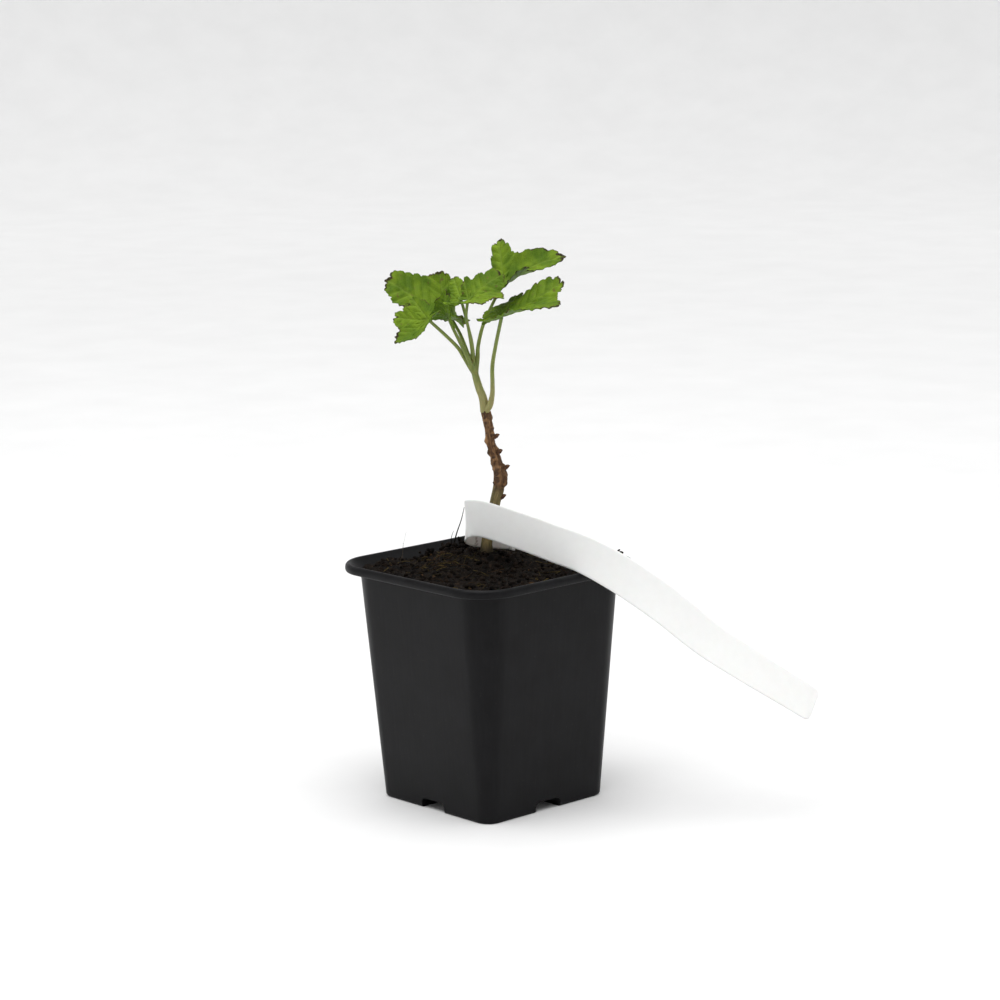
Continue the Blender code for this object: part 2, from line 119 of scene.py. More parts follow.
# %% Grids to meshes
def mesh_object(name, vertices, faces, tint=None, smooth=True):
    """A mesh object at the origin from vertices in metres and faces of vertex numbers."""
    mesh = bpy.data.meshes.new(name)
    mesh.from_pydata(vertices, [], faces)
    if tint is not None:
        layer = mesh.color_attributes.new("tint", "FLOAT_COLOR", "POINT")
        rgba = np.ones((len(vertices), 4), np.float32)
        rgba[:, :3] = tint
        layer.data.foreach_set("color", rgba.ravel())
    if smooth:
        mesh.shade_smooth()
    piece = bpy.data.objects.new(name, mesh)
    bpy.context.scene.collection.objects.link(piece)
    return piece


def grid_faces(rows, columns, round_columns=False):
    """Four-cornered faces between neighbours of a grid, closed round the columns if asked."""
    last = columns if round_columns else columns - 1
    row, column = np.meshgrid(np.arange(rows - 1), np.arange(last), indexing="ij")
    after = (column + 1) % columns
    corners = [row * columns + column, row * columns + after,
               (row + 1) * columns + after, (row + 1) * columns + column]
    return np.stack(corners, axis=-1).reshape(-1, 4)


def smooth_rows(rows, steps):
    """A Catmull-Rom curve through rows of numbers, with the given steps between two rows."""
    rows = np.array(rows, float)
    ends = np.vstack([2 * rows[0] - rows[1], rows, 2 * rows[-1] - rows[-2]])
    t = np.linspace(0, 1, steps, endpoint=False)[:, None]
    parts = []
    for a, b, c, d in zip(ends[:-3], ends[1:-2], ends[2:-1], ends[3:]):
        curve = 2 * b + (c - a) * t + (2 * a - 5 * b + 4 * c - d) * t ** 2
        parts.append(0.5 * (curve + (3 * b - a - 3 * c + d) * t ** 3))
    return np.vstack(parts + [rows[-1:]])


def unit(vectors):
    """Vectors scaled to length one."""
    return vectors / np.maximum(np.linalg.norm(vectors, axis=-1, keepdims=True), 1e-9)


def path_length(points):
    """How far along a path each of its points lies."""
    return np.concatenate([[0], np.cumsum(np.linalg.norm(np.diff(points, axis=0), axis=1))])


def tube_grid(rows, around):
    """Centre, outward direction, angle and length along for a round limb.

    Two directions square to the path span each ring, kept level with across as far as they go.
    """
    centre = rows[:, :3]
    along = unit(np.gradient(centre, axis=0))
    side = unit(np.cross(np.array([0.0, 1.0, 0.0]), along))
    front = np.cross(along, side)
    angle = np.linspace(0, 2 * pi, around, endpoint=False)
    out = side[:, None] * np.cos(angle)[:, None] + front[:, None] * np.sin(angle)[:, None]
    return centre, out, angle, path_length(centre)


def end_fans(first, count, around):
    """Triangles that close a tube's two ends, to the middle points that follow its grid."""
    ring = np.arange(around)
    after = (ring + 1) % around
    middle = first + count * around
    last = middle - around
    foot = np.stack([np.full(around, middle), first + after, first + ring], axis=-1)
    top = np.stack([np.full(around, middle + 1), last + ring, last + after], axis=-1)
    return np.vstack([foot, top]).tolist()


def capped_tube(name, points, tint):
    """A tube from a grid of points in the corner view, closed at both ends by its middles."""
    count, around = points.shape[:2]
    vertices = np.vstack([points.reshape(-1, 3), points[0].mean(0), points[-1].mean(0)])
    colours = np.vstack([tint.reshape(-1, 3), tint[0].mean(0), tint[-1].mean(0)])
    faces = grid_faces(count, around, True).tolist() + end_fans(0, count, around)
    return mesh_object(name, placed(vertices), faces, colours)


def keep_modified(piece):
    """Gives a piece the mesh that its modifiers make, and takes the modifiers off."""
    bpy.context.view_layer.update()
    graph = bpy.context.evaluated_depsgraph_get()
    made = bpy.data.meshes.new_from_object(piece.evaluated_get(graph))
    piece.modifiers.clear()
    piece.data = made


# %% [markdown]
# Materials are node trees. A small helper keeps them readable: node() makes a node with its
# settings, and every pattern that depends on place reads the object's own coordinates.

# %% Material helper
LIGHT_DEPTH = 2.0
NOISE_ROUGHNESS = 0.55


class Finish:
    """A Principled material being built, in object coordinates given in mm."""

    def __init__(self, name, roughness, specular=0.5, subsurface=0.0):
        self.material = bpy.data.materials.new(name)
        self.material.use_nodes = True
        self.tree = self.material.node_tree
        self.shader = self.tree.nodes["Principled BSDF"]
        self.shader.inputs["Roughness"].default_value = roughness
        self.shader.inputs["Specular IOR Level"].default_value = specular
        self.shader.inputs["Subsurface Weight"].default_value = subsurface
        self.shader.inputs["Subsurface Scale"].default_value = LIGHT_DEPTH * MM
        place = self.node("ShaderNodeTexCoord")
        scale = self.node("ShaderNodeVectorMath", operation="SCALE")
        scale.inputs["Scale"].default_value = 1 / MM
        self.join(place.outputs["Object"], scale.inputs[0])
        self.place = scale.outputs[0]

    def node(self, kind, **settings):
        """A new node with its settings."""
        made = self.tree.nodes.new(kind)
        for key, value in settings.items():
            setattr(made, key, value)
        return made

    def join(self, source, target):
        """Links an output to an input."""
        self.tree.links.new(source, target)

    def noise(self, size, detail=3.0, stretch=(1, 1, 1)):
        """Noise with lumps of a size in mm, stretched along the axes."""
        grid = self.node("ShaderNodeMapping")
        grid.inputs["Scale"].default_value = tuple(1 / (size * s) for s in stretch)
        self.join(self.place, grid.inputs["Vector"])
        made = self.node("ShaderNodeTexNoise")
        made.inputs["Scale"].default_value = 1.0
        made.inputs["Detail"].default_value = detail
        made.inputs["Roughness"].default_value = NOISE_ROUGHNESS
        self.join(grid.outputs[0], made.inputs["Vector"])
        return made.outputs["Fac"]

    def cells(self, size):
        """How far a point lies from the walls between cells of a size in mm."""
        made = self.node("ShaderNodeTexVoronoi", feature="DISTANCE_TO_EDGE")
        made.inputs["Scale"].default_value = 1 / size
        self.join(self.place, made.inputs["Vector"])
        return made.outputs["Distance"]

    def spread(self, value, low, high, to_low=0.0, to_high=1.0):
        """A value mapped from one range to another, and held at its ends."""
        made = self.node("ShaderNodeMapRange")
        for key, number in zip((1, 2, 3, 4), (low, high, to_low, to_high)):
            made.inputs[key].default_value = number
        self.join(value, made.inputs["Value"])
        return made.outputs["Result"]

    def mixed(self, share, first, second, blend_type="MIX"):
        """Two colours mixed. A colour is a node's output or three numbers."""
        made = self.node("ShaderNodeMix", data_type="RGBA", blend_type=blend_type)
        for key, value in zip((0, 6, 7), (share, first, second)):
            if isinstance(value, (int, float)):
                made.inputs[key].default_value = value
            elif isinstance(value, tuple):
                made.inputs[key].default_value = (*value, 1.0)
            else:
                self.join(value, made.inputs[key])
        return made.outputs[2]

    def tint(self):
        """The colour that the mesh carries for each point."""
        return self.node("ShaderNodeAttribute", attribute_name="tint").outputs["Color"]

    def bump(self, height, depth, strength=1.0, under=None):
        """Adds fine relief, with depth in mm, over the relief that is there."""
        made = self.node("ShaderNodeBump")
        made.inputs["Strength"].default_value = strength
        made.inputs["Distance"].default_value = depth * MM
        self.join(height, made.inputs["Height"])
        if under is not None:
            self.join(under, made.inputs["Normal"])
        return made.outputs[0]

    def tinted(self, pattern):
        """The mesh's own colour times a pattern of light and dark."""
        return self.mixed(1.0, self.tint(), pattern, "MULTIPLY")

    def done(self, colour, roughness=None, normal=None):
        """Links colour, roughness and relief to the shader."""
        self.join(colour, self.shader.inputs["Base Color"])
        if roughness is not None:
            self.join(roughness, self.shader.inputs["Roughness"])
        if normal is not None:
            self.join(normal, self.shader.inputs["Normal"])
        return self.material


# %% [markdown]
# The black pot is satin polypropylene: faint upright flow streaks in its gloss and relief, a
# little pale dust, and slightly duller patches. Compost, bark, stalks, leaf faces and label
# take their colours from the mesh's own tint, and noise adds the fine grain.

# %% Finishes
def black_plastic():
    """Satin black plastic with upright streaks and fine dust."""
    made = Finish("black_plastic_look", 0.4, specular=0.12)
    streaks = made.noise(1.6, 4.0, (1, 1, 60))
    patches = made.noise(14.0, 3.0)
    dust = made.spread(made.noise(0.9, 2.0), 0.67, 0.78)
    dark, dull = (0.0042, 0.0041, 0.0046), (0.0062, 0.0062, 0.007)
    streak_tone, dust_tone = (0.0115, 0.0115, 0.013), (0.06, 0.055, 0.048)
    body = made.mixed(made.spread(patches, 0.35, 0.7), dark, dull)
    body = made.mixed(made.spread(streaks, 0.45, 0.75, 0.0, 0.35), body, streak_tone)
    colour = made.mixed(made.spread(dust, 0.0, 1.0, 0.0, 0.2), body, dust_tone)
    gloss = made.spread(streaks, 0.3, 0.75, 0.33, 0.5)
    relief = made.bump(streaks, 0.12, 0.35)
    relief = made.bump(made.noise(0.5, 2.0), 0.02, 0.3, relief)
    return made.done(colour, gloss, relief)


def compost_finish():
    """Damp peat and bark crumbs, darker in the hollows: partly the crumbs' own tone, partly painted
    shade.
    """
    made = Finish("compost_look", 0.88, specular=0.08)
    grain = made.noise(0.7, 5.0)
    # Partly the crumbs' own tone and partly painted shade: the grain that lifts the relief also
    # darkens its hollows.
    colour = made.mixed(made.spread(grain, 0.3, 0.75), (0.25, 0.22, 0.2), (1.3, 1.22, 1.15))
    colour = made.tinted(colour)
    relief = made.bump(grain, 0.5, 0.9)
    return made.done(colour, made.spread(grain, 0.3, 0.8, 0.7, 0.98), relief)


def bark_finish():
    """Old bark: the mesh's own colours with fine fibres along the stem."""
    made = Finish("old_bark_look", 0.75, specular=0.35)
    fibres = made.noise(0.35, 4.0, (1, 1, 5))
    colour = made.mixed(made.spread(fibres, 0.3, 0.72), (0.62, 0.58, 0.55), (1.35, 1.3, 1.22))
    colour = made.tinted(colour)
    return made.done(colour, made.spread(fibres, 0.3, 0.75, 0.6, 0.85), made.bump(fibres, 0.12, 0.8))


def shoot_finish():
    """Soft green stalks with faint fibres and a trace of light through them."""
    made = Finish("green_shoot_look", 0.5, specular=0.4, subsurface=0.12)
    fibres = made.noise(0.3, 3.0, (1, 1, 8))
    colour = made.mixed(made.spread(fibres, 0.3, 0.72), (0.85, 0.86, 0.82), (1.12, 1.1, 1.08))
    colour = made.tinted(colour)
    return made.done(colour, made.spread(fibres, 0.3, 0.75, 0.42, 0.6), made.bump(fibres, 0.05, 0.5))


def leaf_finish(name, tone, roughness):
    """A blade's face: its own tint, small meshes of veins, and mottling."""
    made = Finish(name, roughness, specular=0.12)
    meshes = made.cells(0.85)
    mottle = made.noise(2.2, 3.0)
    colour = made.mixed(made.spread(mottle, 0.3, 0.72), (0.84, 0.86, 0.8), (1.14, 1.1, 1.05))
    colour = made.tinted(colour)
    colour = made.mixed(1.0, colour, tone, "MULTIPLY")
    colour = made.mixed(made.spread(meshes, 0.0, 0.22, 0.2, 0.0), colour, SMALL_VEIN)
    relief = made.bump(made.spread(meshes, 0.0, 0.35), 0.10, 0.7)
    relief = made.bump(made.noise(0.25, 2.0), 0.03, 0.4, relief)
    gloss = made.spread(mottle, 0.3, 0.75, roughness - 0.08, roughness + 0.1)
    return made.done(colour, gloss, relief)


def label_finish():
    """White label plastic, with a little soil dust and painted shade from its tint."""
    made = Finish("white_plastic_look", 0.42, specular=0.5, subsurface=0.05)
    grain = made.noise(3.0, 4.0)
    colour = made.mixed(made.spread(grain, 0.3, 0.75), (0.97, 0.97, 0.965), (1.0, 1.0, 1.0))
    colour = made.tinted(colour)
    return made.done(colour, made.spread(grain, 0.3, 0.75, 0.36, 0.5), made.bump(grain, 0.02, 0.3))


SMALL_VEIN = (0.15, 0.25, 0.02)
POT_LOOK = black_plastic()
COMPOST_LOOK = compost_finish()
BARK_LOOK = bark_finish()
SHOOT_LOOK = shoot_finish()
LEAF_TOP_LOOK = leaf_finish("leaf_top_look", (1.0, 1.0, 1.0), 0.52)
LEAF_UNDER_LOOK = leaf_finish("leaf_under_look", (1.25, 1.12, 2.2), 0.66)
LABEL_LOOK = label_finish()
print("materials", len(bpy.data.materials))


def dress(piece, look, slot_name, *nodes):
    """Gives a piece its material and its body, and hides the CAD nodes it stands for."""
    piece.data.materials.append(look)
    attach(piece, "root")
    if nodes:
        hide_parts(*nodes)


# %% [markdown]
# The pot is one closed skin, lofted through rounded squares. It goes up the outside, over the
# flared rim and down the inside. Two crossing channels are cut out of its base, which leaves
# four feet, and five drain holes go through.

# %% Pot
CREST = 95.0
BASE_TOP = 5.0
BASE_HALF = 31.8
BASE_CORNER = 5.9
SHOULDER_HALF = 39.4
SHOULDER_CORNER = 12.6
SHOULDER_HEIGHT = 90.3
RIM_HALF = 45.0
RIM_CORNER = 17.0
WALL = 0.9
CHANNEL_WIDTH = 13.0
CHANNEL_HEIGHT = 4.0
CHANNEL_BEND = 2.0
CHANNEL_REACH = 40.0
DRAIN_RADIUS = 4.5
DRAIN_REACH = 20.0
DRAIN_SIDES = 32
CUT_DEPTH = 3.0
ARC_STEPS = 14
SIDE_STEPS = 14


def rounded_squares(half, corner):
    """Points round squares with rounded corners: an arc and a straight run for each quarter."""
    half, corner = np.asarray(half)[:, None], np.asarray(corner)[:, None]
    angle = np.linspace(0, pi / 2, ARC_STEPS + 1)
    run = np.linspace(0, 1, SIDE_STEPS + 1)[1:-1]
    core = half - corner
    arc = np.stack([core + corner * np.cos(angle), core + corner * np.sin(angle)], axis=-1)
    side = np.stack([core * (1 - 2 * run), half + 0 * run], axis=-1)
    quarter = np.concatenate([arc, side], axis=1)
    x, y = quarter[..., 0], quarter[..., 1]
    turns = [(x, y), (-y, x), (-x, -y), (y, -x)]
    return np.concatenate([np.stack(pair, axis=-1) for pair in turns], axis=1)


def wall_sizes(height, inset):
    """Half-width and corner radius of the wall at a height, drawn in by inset."""
    share = height / SHOULDER_HEIGHT
    half = BASE_HALF + (SHOULDER_HALF - BASE_HALF) * share - inset
    return half, BASE_CORNER + (SHOULDER_CORNER - BASE_CORNER) * share - inset


def pot_profile():
    """Rows of half-width, corner radius and height, from the ground outside to the floor inside."""
    outside = [(*wall_sizes(z, 0.0), z) for z in (0.9, 1.6, *np.linspace(3, 88, 18), 89.6)]
    rim = [
        (SHOULDER_HALF, SHOULDER_CORNER, SHOULDER_HEIGHT),
        (SHOULDER_HALF + 0.5, SHOULDER_CORNER + 0.5, 91.0),
        (SHOULDER_HALF + 2.0, SHOULDER_CORNER + 1.7, 91.5),
        (RIM_HALF - 0.8, RIM_CORNER - 0.5, 91.65),
        (RIM_HALF - 0.25, RIM_CORNER - 0.2, 91.9),
        (RIM_HALF, RIM_CORNER, CREST - 2.4),
        (RIM_HALF, RIM_CORNER, CREST - 1.4),
        (RIM_HALF - 0.4, RIM_CORNER - 0.5, CREST - 0.5),
        (RIM_HALF - 1.2, RIM_CORNER - 1.5, CREST),
        (RIM_HALF - 2.0, RIM_CORNER - 2.2, CREST - 0.25),
        (RIM_HALF - 3.0, RIM_CORNER - 3.0, CREST - 1.4),
        (RIM_HALF - 4.6, RIM_CORNER - 4.0, CREST - 3.0),
        (SHOULDER_HALF - 0.2, SHOULDER_CORNER - 0.4, 90.7),
    ]
    inside = [(*wall_sizes(z, WALL), z) for z in (89.6, 80, 60, 40, 20, BASE_TOP)]
    low = [(BASE_HALF - 0.7, BASE_CORNER - 0.4, 0.0), (BASE_HALF - 0.25, BASE_CORNER - 0.1, 0.25)]
    return np.vstack([low, outside, smooth_rows(rim, 3), inside])


def cutter(name, vertices, faces):
    """A closed shape for a cut, from points about the pot's axis in mm."""
    return mesh_object(name, (vertices + np.array([*POT_AXIS, 0])) * MM, faces, smooth=False)


def channel_cutter(name, along_x):
    """A bar with rounded upper edges, right across the foot of the pot."""
    half, bend = CHANNEL_WIDTH / 2, CHANNEL_BEND
    angle = np.linspace(0, pi / 2, 7)
    arc = np.stack([np.cos(angle), np.sin(angle)], axis=-1)
    right = np.array([half - bend, CHANNEL_HEIGHT - bend]) + bend * arc
    section = np.vstack([[(half, -CUT_DEPTH)], right, right[::-1] * [-1, 1], [(-half, -CUT_DEPTH)]])
    count = len(section)
    grid = np.zeros((2, count, 3))
    grid[..., 0] = np.array([-CHANNEL_REACH, CHANNEL_REACH])[:, None]
    grid[..., 1:] = section
    if not along_x:
        grid = grid[..., [1, 0, 2]]
    faces = grid_faces(2, count, True).tolist()
    faces += [list(range(count)), list(range(2 * count - 1, count - 1, -1))]
    return cutter(name, grid.reshape(-1, 3), faces)


def drain_cutter(name, x, y):
    """A round plug through the base."""
    count = DRAIN_SIDES
    angle = np.linspace(0, 2 * pi, count, endpoint=False)
    ring = np.stack([x + DRAIN_RADIUS * np.cos(angle), y + DRAIN_RADIUS * np.sin(angle)], axis=-1)
    levels = (BASE_TOP - CUT_DEPTH, BASE_TOP + CUT_DEPTH)
    grid = np.concatenate([np.column_stack([ring, np.full(count, z)]) for z in levels])
    faces = grid_faces(2, count, True).tolist()
    faces += [list(range(count)), list(range(2 * count - 1, count - 1, -1))]
    return cutter(name, grid, faces)


def outward(piece):
    """Turns a mesh's faces to point out."""
    bm = bmesh.new()
    bm.from_mesh(piece.data)
    bmesh.ops.recalc_face_normals(bm, faces=bm.faces)
    bm.to_mesh(piece.data)
    bm.free()


def make_pot():
    """The loft with its channels and drain holes cut out."""
    profile = pot_profile()
    outline = rounded_squares(profile[:, 0], profile[:, 1])
    count, columns = outline.shape[:2]
    points = np.concatenate([outline + POT_AXIS, np.broadcast_to(
        profile[:, 2][:, None, None], (count, columns, 1))], axis=-1)
    faces = grid_faces(count, columns, True).tolist()
    faces += [list(range(columns)), list(range((count - 1) * columns, count * columns))]
    pot = mesh_object("pot_shell", points.reshape(-1, 3) * MM, faces)
    tools = [channel_cutter("channel_x", True), channel_cutter("channel_y", False)]
    for k, (x, y) in enumerate([(0, 0), (1, 0), (-1, 0), (0, 1), (0, -1)]):
        tools.append(drain_cutter(f"drain_{k}", x * DRAIN_REACH, y * DRAIN_REACH))
    outward(pot)
    for tool in tools:
        outward(tool)
        cut = pot.modifiers.new(tool.name, "BOOLEAN")
        cut.operation = "DIFFERENCE"
        cut.object = tool
    keep_modified(pot)
    for tool in tools:
        bpy.data.objects.remove(tool)
    pot.data.shade_smooth()
    pot.data.set_sharp_from_angle(angle=radians(40))
    dress(pot, POT_LOOK, "black_plastic", "pot")
    print("pot", len(pot.data.polygons), "faces")


make_pot()

# %% [markdown]
# The soil is one closed body: a crumbly surface with the heap round the stem, lumps in several
# sizes and sides down to the pot's floor. Loose crumbs, clods, straw and fine roots lie on it.

# %% Soil surface
SOIL_EDGE = 91.3
SOIL_HEAP = 5.8
HEAP_REACH = 18.0
STEM_FOOT = np.array([-0.8, 6.0])
SOIL_HALF = 39.1
SOIL_CORNER = 12.2
SOIL_GAP = 0.3
SHEET_RINGS = 130
SHEET_AROUND = 460
DEEP_SOIL = (0.0035, 0.0028, 0.0024)
CRUMB_COUNT = 1500
CLOD_CRUMBS = 26
STRAW_COUNT = 150
STRAW_LIMIT = 36.5
FOOT_MODEL = turned([*STEM_FOOT, 0.0])[:2]


def soil_level(local):
    """Height over the pot's own x and y: heap + lumps of 9 to 0.7 mm + a rise near the wall."""
    away = np.linalg.norm(local - FOOT_MODEL, axis=-1)
    flat = np.concatenate([local, np.zeros((*local.shape[:-1], 1))], axis=-1)
    lumps = 1.0 * field(flat, 9.0) + 0.95 * abs(field(flat + 40, 3.6)) + 0.55 * field(flat + 80, 1.5)
    lumps = lumps + 0.3 * field(flat + 20, 0.7)
    calm = 0.35 + 0.65 * blend(3, 10, away)
    edge = np.max(abs(local), axis=-1)
    rise = 0.9 * blend(30, 38, edge) * abs(field(flat + 60, 6.0))
    return SOIL_EDGE + SOIL_GAP + SOIL_HEAP * np.exp(-(away / HEAP_REACH) ** 2) + lumps * calm + rise


def square_ring(half, corner, around):
    """Points round a square with rounded corners, evenly spaced in angle from its middle."""
    angle = np.linspace(0, 2 * pi, around, endpoint=False)
    ray = np.stack([np.cos(angle), np.sin(angle)], axis=-1)
    reach = half / np.max(abs(ray), axis=-1)
    point = abs(ray * reach[:, None])
    core = half - corner
    at_corner = np.min(point, axis=-1) > core
    along = core * abs(ray).sum(axis=-1)
    bent = along + np.sqrt(np.maximum(along ** 2 - 2 * core ** 2 + corner ** 2, 0))
    reach = np.where(at_corner, bent, reach)
    return ray * reach[:, None]


def make_soil_sheet():
    """The crumbly surface, as rings that shrink from the wall to the stem's foot, and its body."""
    edge = square_ring(SOIL_HALF, SOIL_CORNER, SHEET_AROUND)
    share = np.concatenate([[1, 1], np.linspace(1, 0.03, SHEET_RINGS - 3), [0.001]])[:, None, None]
    local = edge[None] * share + FOOT_MODEL * (1 - share)
    height = soil_level(local)
    local[0] *= (BASE_HALF - WALL) / SOIL_HALF
    height[0] = BASE_TOP + SOIL_GAP
    local[1] *= (SHOULDER_HALF - WALL - SOIL_GAP) / SOIL_HALF
    height[1] = SHOULDER_HEIGHT - 1
    points = np.concatenate([local + POT_AXIS, height[..., None]], axis=-1) * MM
    spot = np.concatenate([local, height[..., None]], axis=-1)
    dark = blend(-0.6, 0.7, field(spot, 2.2) + 0.6 * field(spot + 30, 0.8))
    tint = mix(DEEP_SOIL, (0.014, 0.0105, 0.008), dark)
    fleck = blend(0.62, 0.75, field(spot + 10, 1.1))
    tint = mix(tint, (0.05, 0.032, 0.02), 0.6 * fleck)
    faces = grid_faces(SHEET_RINGS, SHEET_AROUND, True).tolist() + [list(range(SHEET_AROUND))]
    sheet = mesh_object("soil_body", points.reshape(-1, 3), faces, tint.reshape(-1, 3))
    dress(sheet, COMPOST_LOOK, "compost", "soil")


def crumb_block(rng, places, sizes, colours, name):
    """Irregular crumbs: small balls of 42 corners, squashed, turned and roughened."""
    ball = bpy.data.meshes.new("ball")
    bm = bmesh.new()
    bmesh.ops.create_icosphere(bm, subdivisions=2, radius=1.0)
    bm.to_mesh(ball)
    bm.free()
    corners = np.array([v.co[:] for v in ball.vertices])
    faces = np.array([p.vertices[:] for p in ball.polygons])
    bpy.data.meshes.remove(ball)
    count = len(places)
    squash = rng.uniform(0.45, 1.0, (count, 1, 3))
    lumpy = 1 + 0.38 * field(corners[None] * 1.3 + rng.uniform(0, 90, (count, 1, 3)), 0.9)
    body = corners[None] * squash * lumpy[..., None]
    turn = rng.normal(size=(count, 4))
    turn /= np.linalg.norm(turn, axis=1)[:, None]
    w, x, y, z = (turn[:, k] for k in range(4))
    spin = np.stack([
        np.stack([1 - 2 * (y * y + z * z), 2 * (x * y - z * w), 2 * (x * z + y * w)], -1),
        np.stack([2 * (x * y + z * w), 1 - 2 * (x * x + z * z), 2 * (y * z - x * w)], -1),
        np.stack([2 * (x * z - y * w), 2 * (y * z + x * w), 1 - 2 * (x * x + y * y)], -1),
    ], axis=1)
    body = np.einsum("nij,nkj->nki", spin, body) * sizes[:, None, None] + places[:, None]
    all_faces = (faces[None] + np.arange(count)[:, None, None] * len(corners)).reshape(-1, 3)
    tint = np.repeat(colours, len(corners), axis=0)
    piece = mesh_object(name, body.reshape(-1, 3) * MM, all_faces.tolist(), tint)
    dress(piece, COMPOST_LOOK, "compost")


def make_crumbs():
    """Loose crumbs all over the surface, small ones more often than large ones."""
    rng = np.random.default_rng(5)
    spread = rng.uniform(-SOIL_HALF + 1.2, SOIL_HALF - 1.2, (CRUMB_COUNT * 2, 2))
    corner = np.maximum(abs(spread) - (SOIL_HALF - SOIL_CORNER), 0)
    keep = np.linalg.norm(corner, axis=1) < SOIL_CORNER - 1.4
    keep &= np.linalg.norm(spread - FOOT_MODEL, axis=1) > 3.6
    local = spread[keep][:CRUMB_COUNT]
    size = 0.28 + 1.15 * rng.random(len(local)) ** 3.2
    height = soil_level(local) + size * 0.25
    places = np.column_stack([local + POT_AXIS, height])
    shade = rng.random(len(local))
    colours = mix(DEEP_SOIL, (0.018, 0.0125, 0.009), shade)
    bark = rng.random(len(local)) > 0.94
    colours[bark] = mix((0.03, 0.018, 0.01), (0.08, 0.05, 0.026), rng.random(bark.sum()))
    crumb_block(rng, places, size, colours, "soil_crumbs")


def make_clumps():
    """Clods heaped against the back and right rim, as (across, deep, up, reach) of each heap."""
    rng = np.random.default_rng(8)
    heaps = [(-17, 33, 93.6, 3.4), (-9.5, 37, 94.2, 3.6), (9.0, 34, 94.4, 3.8), (3, 38, 93.4, 3.0),
             (-24, 25, 92.8, 3.0), (32.5, 8.0, 92.6, 2.6), (16, 27, 93.2, 3.0), (-3, 30, 93.4, 3.2),
             (51.2, 4.0, 95.9, 1.7)]
    places, sizes = [], []
    for across, deep, up, reach in heaps:
        spread = rng.normal(0, 0.5, (CLOD_CRUMBS, 3)) * [reach, reach, reach * 0.55]
        places.append(placed(np.array([across, deep, up]) + spread) / MM)
        sizes.append(0.4 + 1.3 * rng.random(CLOD_CRUMBS) ** 2)
    shade = rng.random(CLOD_CRUMBS * len(heaps))
    colours = mix((0.003, 0.0024, 0.002), (0.016, 0.011, 0.008), shade)
    crumb_block(rng, np.vstack(places), np.concatenate(sizes), colours, "soil_clods")


def strands(name, paths):
    """Thin stalks joined in one mesh: each is a path, a radius at its foot and a colour."""
    vertices, faces, tints, first = [], [], [], 0
    for points, radius, colour in paths:
        rows = smooth_rows(np.asarray(points, float), 5)
        count, around = len(rows), 7
        taper = radius * np.linspace(1, 0.35, count)
        centre, out, _, _ = tube_grid(rows, around)
        ring = centre[:, None] + out * taper[:, None, None]
        vertices += [ring.reshape(-1, 3), centre[:1], centre[-1:]]
        faces += (grid_faces(count, around, True) + first).tolist()
        faces += end_fans(first, count, around)
        tints.append(np.tile(colour, (count * around + 2, 1)))
        first += count * around + 2
    piece = mesh_object(name, placed(np.vstack(vertices)), faces, np.vstack(tints))
    dress(piece, COMPOST_LOOK, "compost")


def make_litter():
    """A standing twig, fine hairs at the rim, straw and root bits lying on the surface."""
    rng = np.random.default_rng(21)
    dark, hair = (0.012, 0.009, 0.007), (0.12, 0.10, 0.08)
    straw, root = np.array([0.115, 0.092, 0.035]), np.array([0.05, 0.032, 0.018])
    paths = [
        ([(-14.3, 37, 93.5), (-13.0, 37.5, 98.5), (-11.0, 38, 104), (-9.7, 38, 109.2)], 0.34, dark),
        ([(-14.8, 37, 93.5), (-15.2, 37, 96.5), (-14.2, 37, 99.8)], 0.22, dark),
        ([(-34.2, 14, 92.0), (-34.0, 15, 98.0), (-32.6, 15, 104.2)], 0.09, hair),
        ([(-35.6, 10, 92.0), (-34.2, 11, 96.0), (-33.9, 11, 100.5)], 0.08, hair),
        ([(35.2, 5, 91.5), (35.0, 5, 94.0), (35.8, 5, 97.0)], 0.10, (0.10, 0.08, 0.06)),
    ]
    for _ in range(STRAW_COUNT):
        local = rng.uniform(-35, 35, 2)
        if np.linalg.norm(local - FOOT_MODEL) < 5:
            continue
        if rng.random() < 0.35:
            local = np.array([-12.0, -13.0]) + rng.normal(0, 6, 2)
        heading = rng.uniform(0, 2 * pi)
        span = rng.uniform(0.8, 4.2)
        step = np.array([cos(heading), sin(heading)]) * span
        bend = rng.normal(0, 0.35, 2)
        flat = np.array([local - step, local + bend, local + step])
        flat = np.clip(flat, -STRAW_LIMIT, STRAW_LIMIT)
        height = soil_level(flat) + np.array([0.1, 0.45, 0.1]) + abs(rng.normal(0, 0.35, 3))
        colour = straw * rng.uniform(0.15, 1.0)
        if rng.random() < 0.45:
            colour = root * rng.uniform(0.4, 1.2)
        seen = np.column_stack([flat, height]) @ TURN_ROWS
        paths.append((seen, rng.uniform(0.08, 0.26), colour))
    strands("soil_litter", paths)


make_soil_sheet()
make_crumbs()
make_clumps()
make_litter()
print("soil and litter done")

# %% [markdown]
# The old wood is a tube with bark relief. Long ridges run up it, scales peel at the knots and
# the foot flares into the soil. Its colours follow the same relief, so scales are dark.

# %% Stem
STEM = [
    (-0.8, 6.0, 96.2, 3.0),
    (-0.8, 6.0, 99.0, 2.45),
    (-0.6, 6.0, 101.2, 2.25),
    (0.6, 6.0, 107.0, 2.1),
    (3.0, 6.0, 117.5, 2.1),
    (5.0, 5.0, 126.0, 2.45),
    (4.0, 4.2, 133.4, 1.95),
    (1.7, 4.0, 140.6, 1.75),
    (0.9, 4.5, 147.0, 1.75),
    (-0.3, 5.2, 154.2, 1.7),
]


STEM_AROUND = 96
PATTERN_RADIUS = 2.1


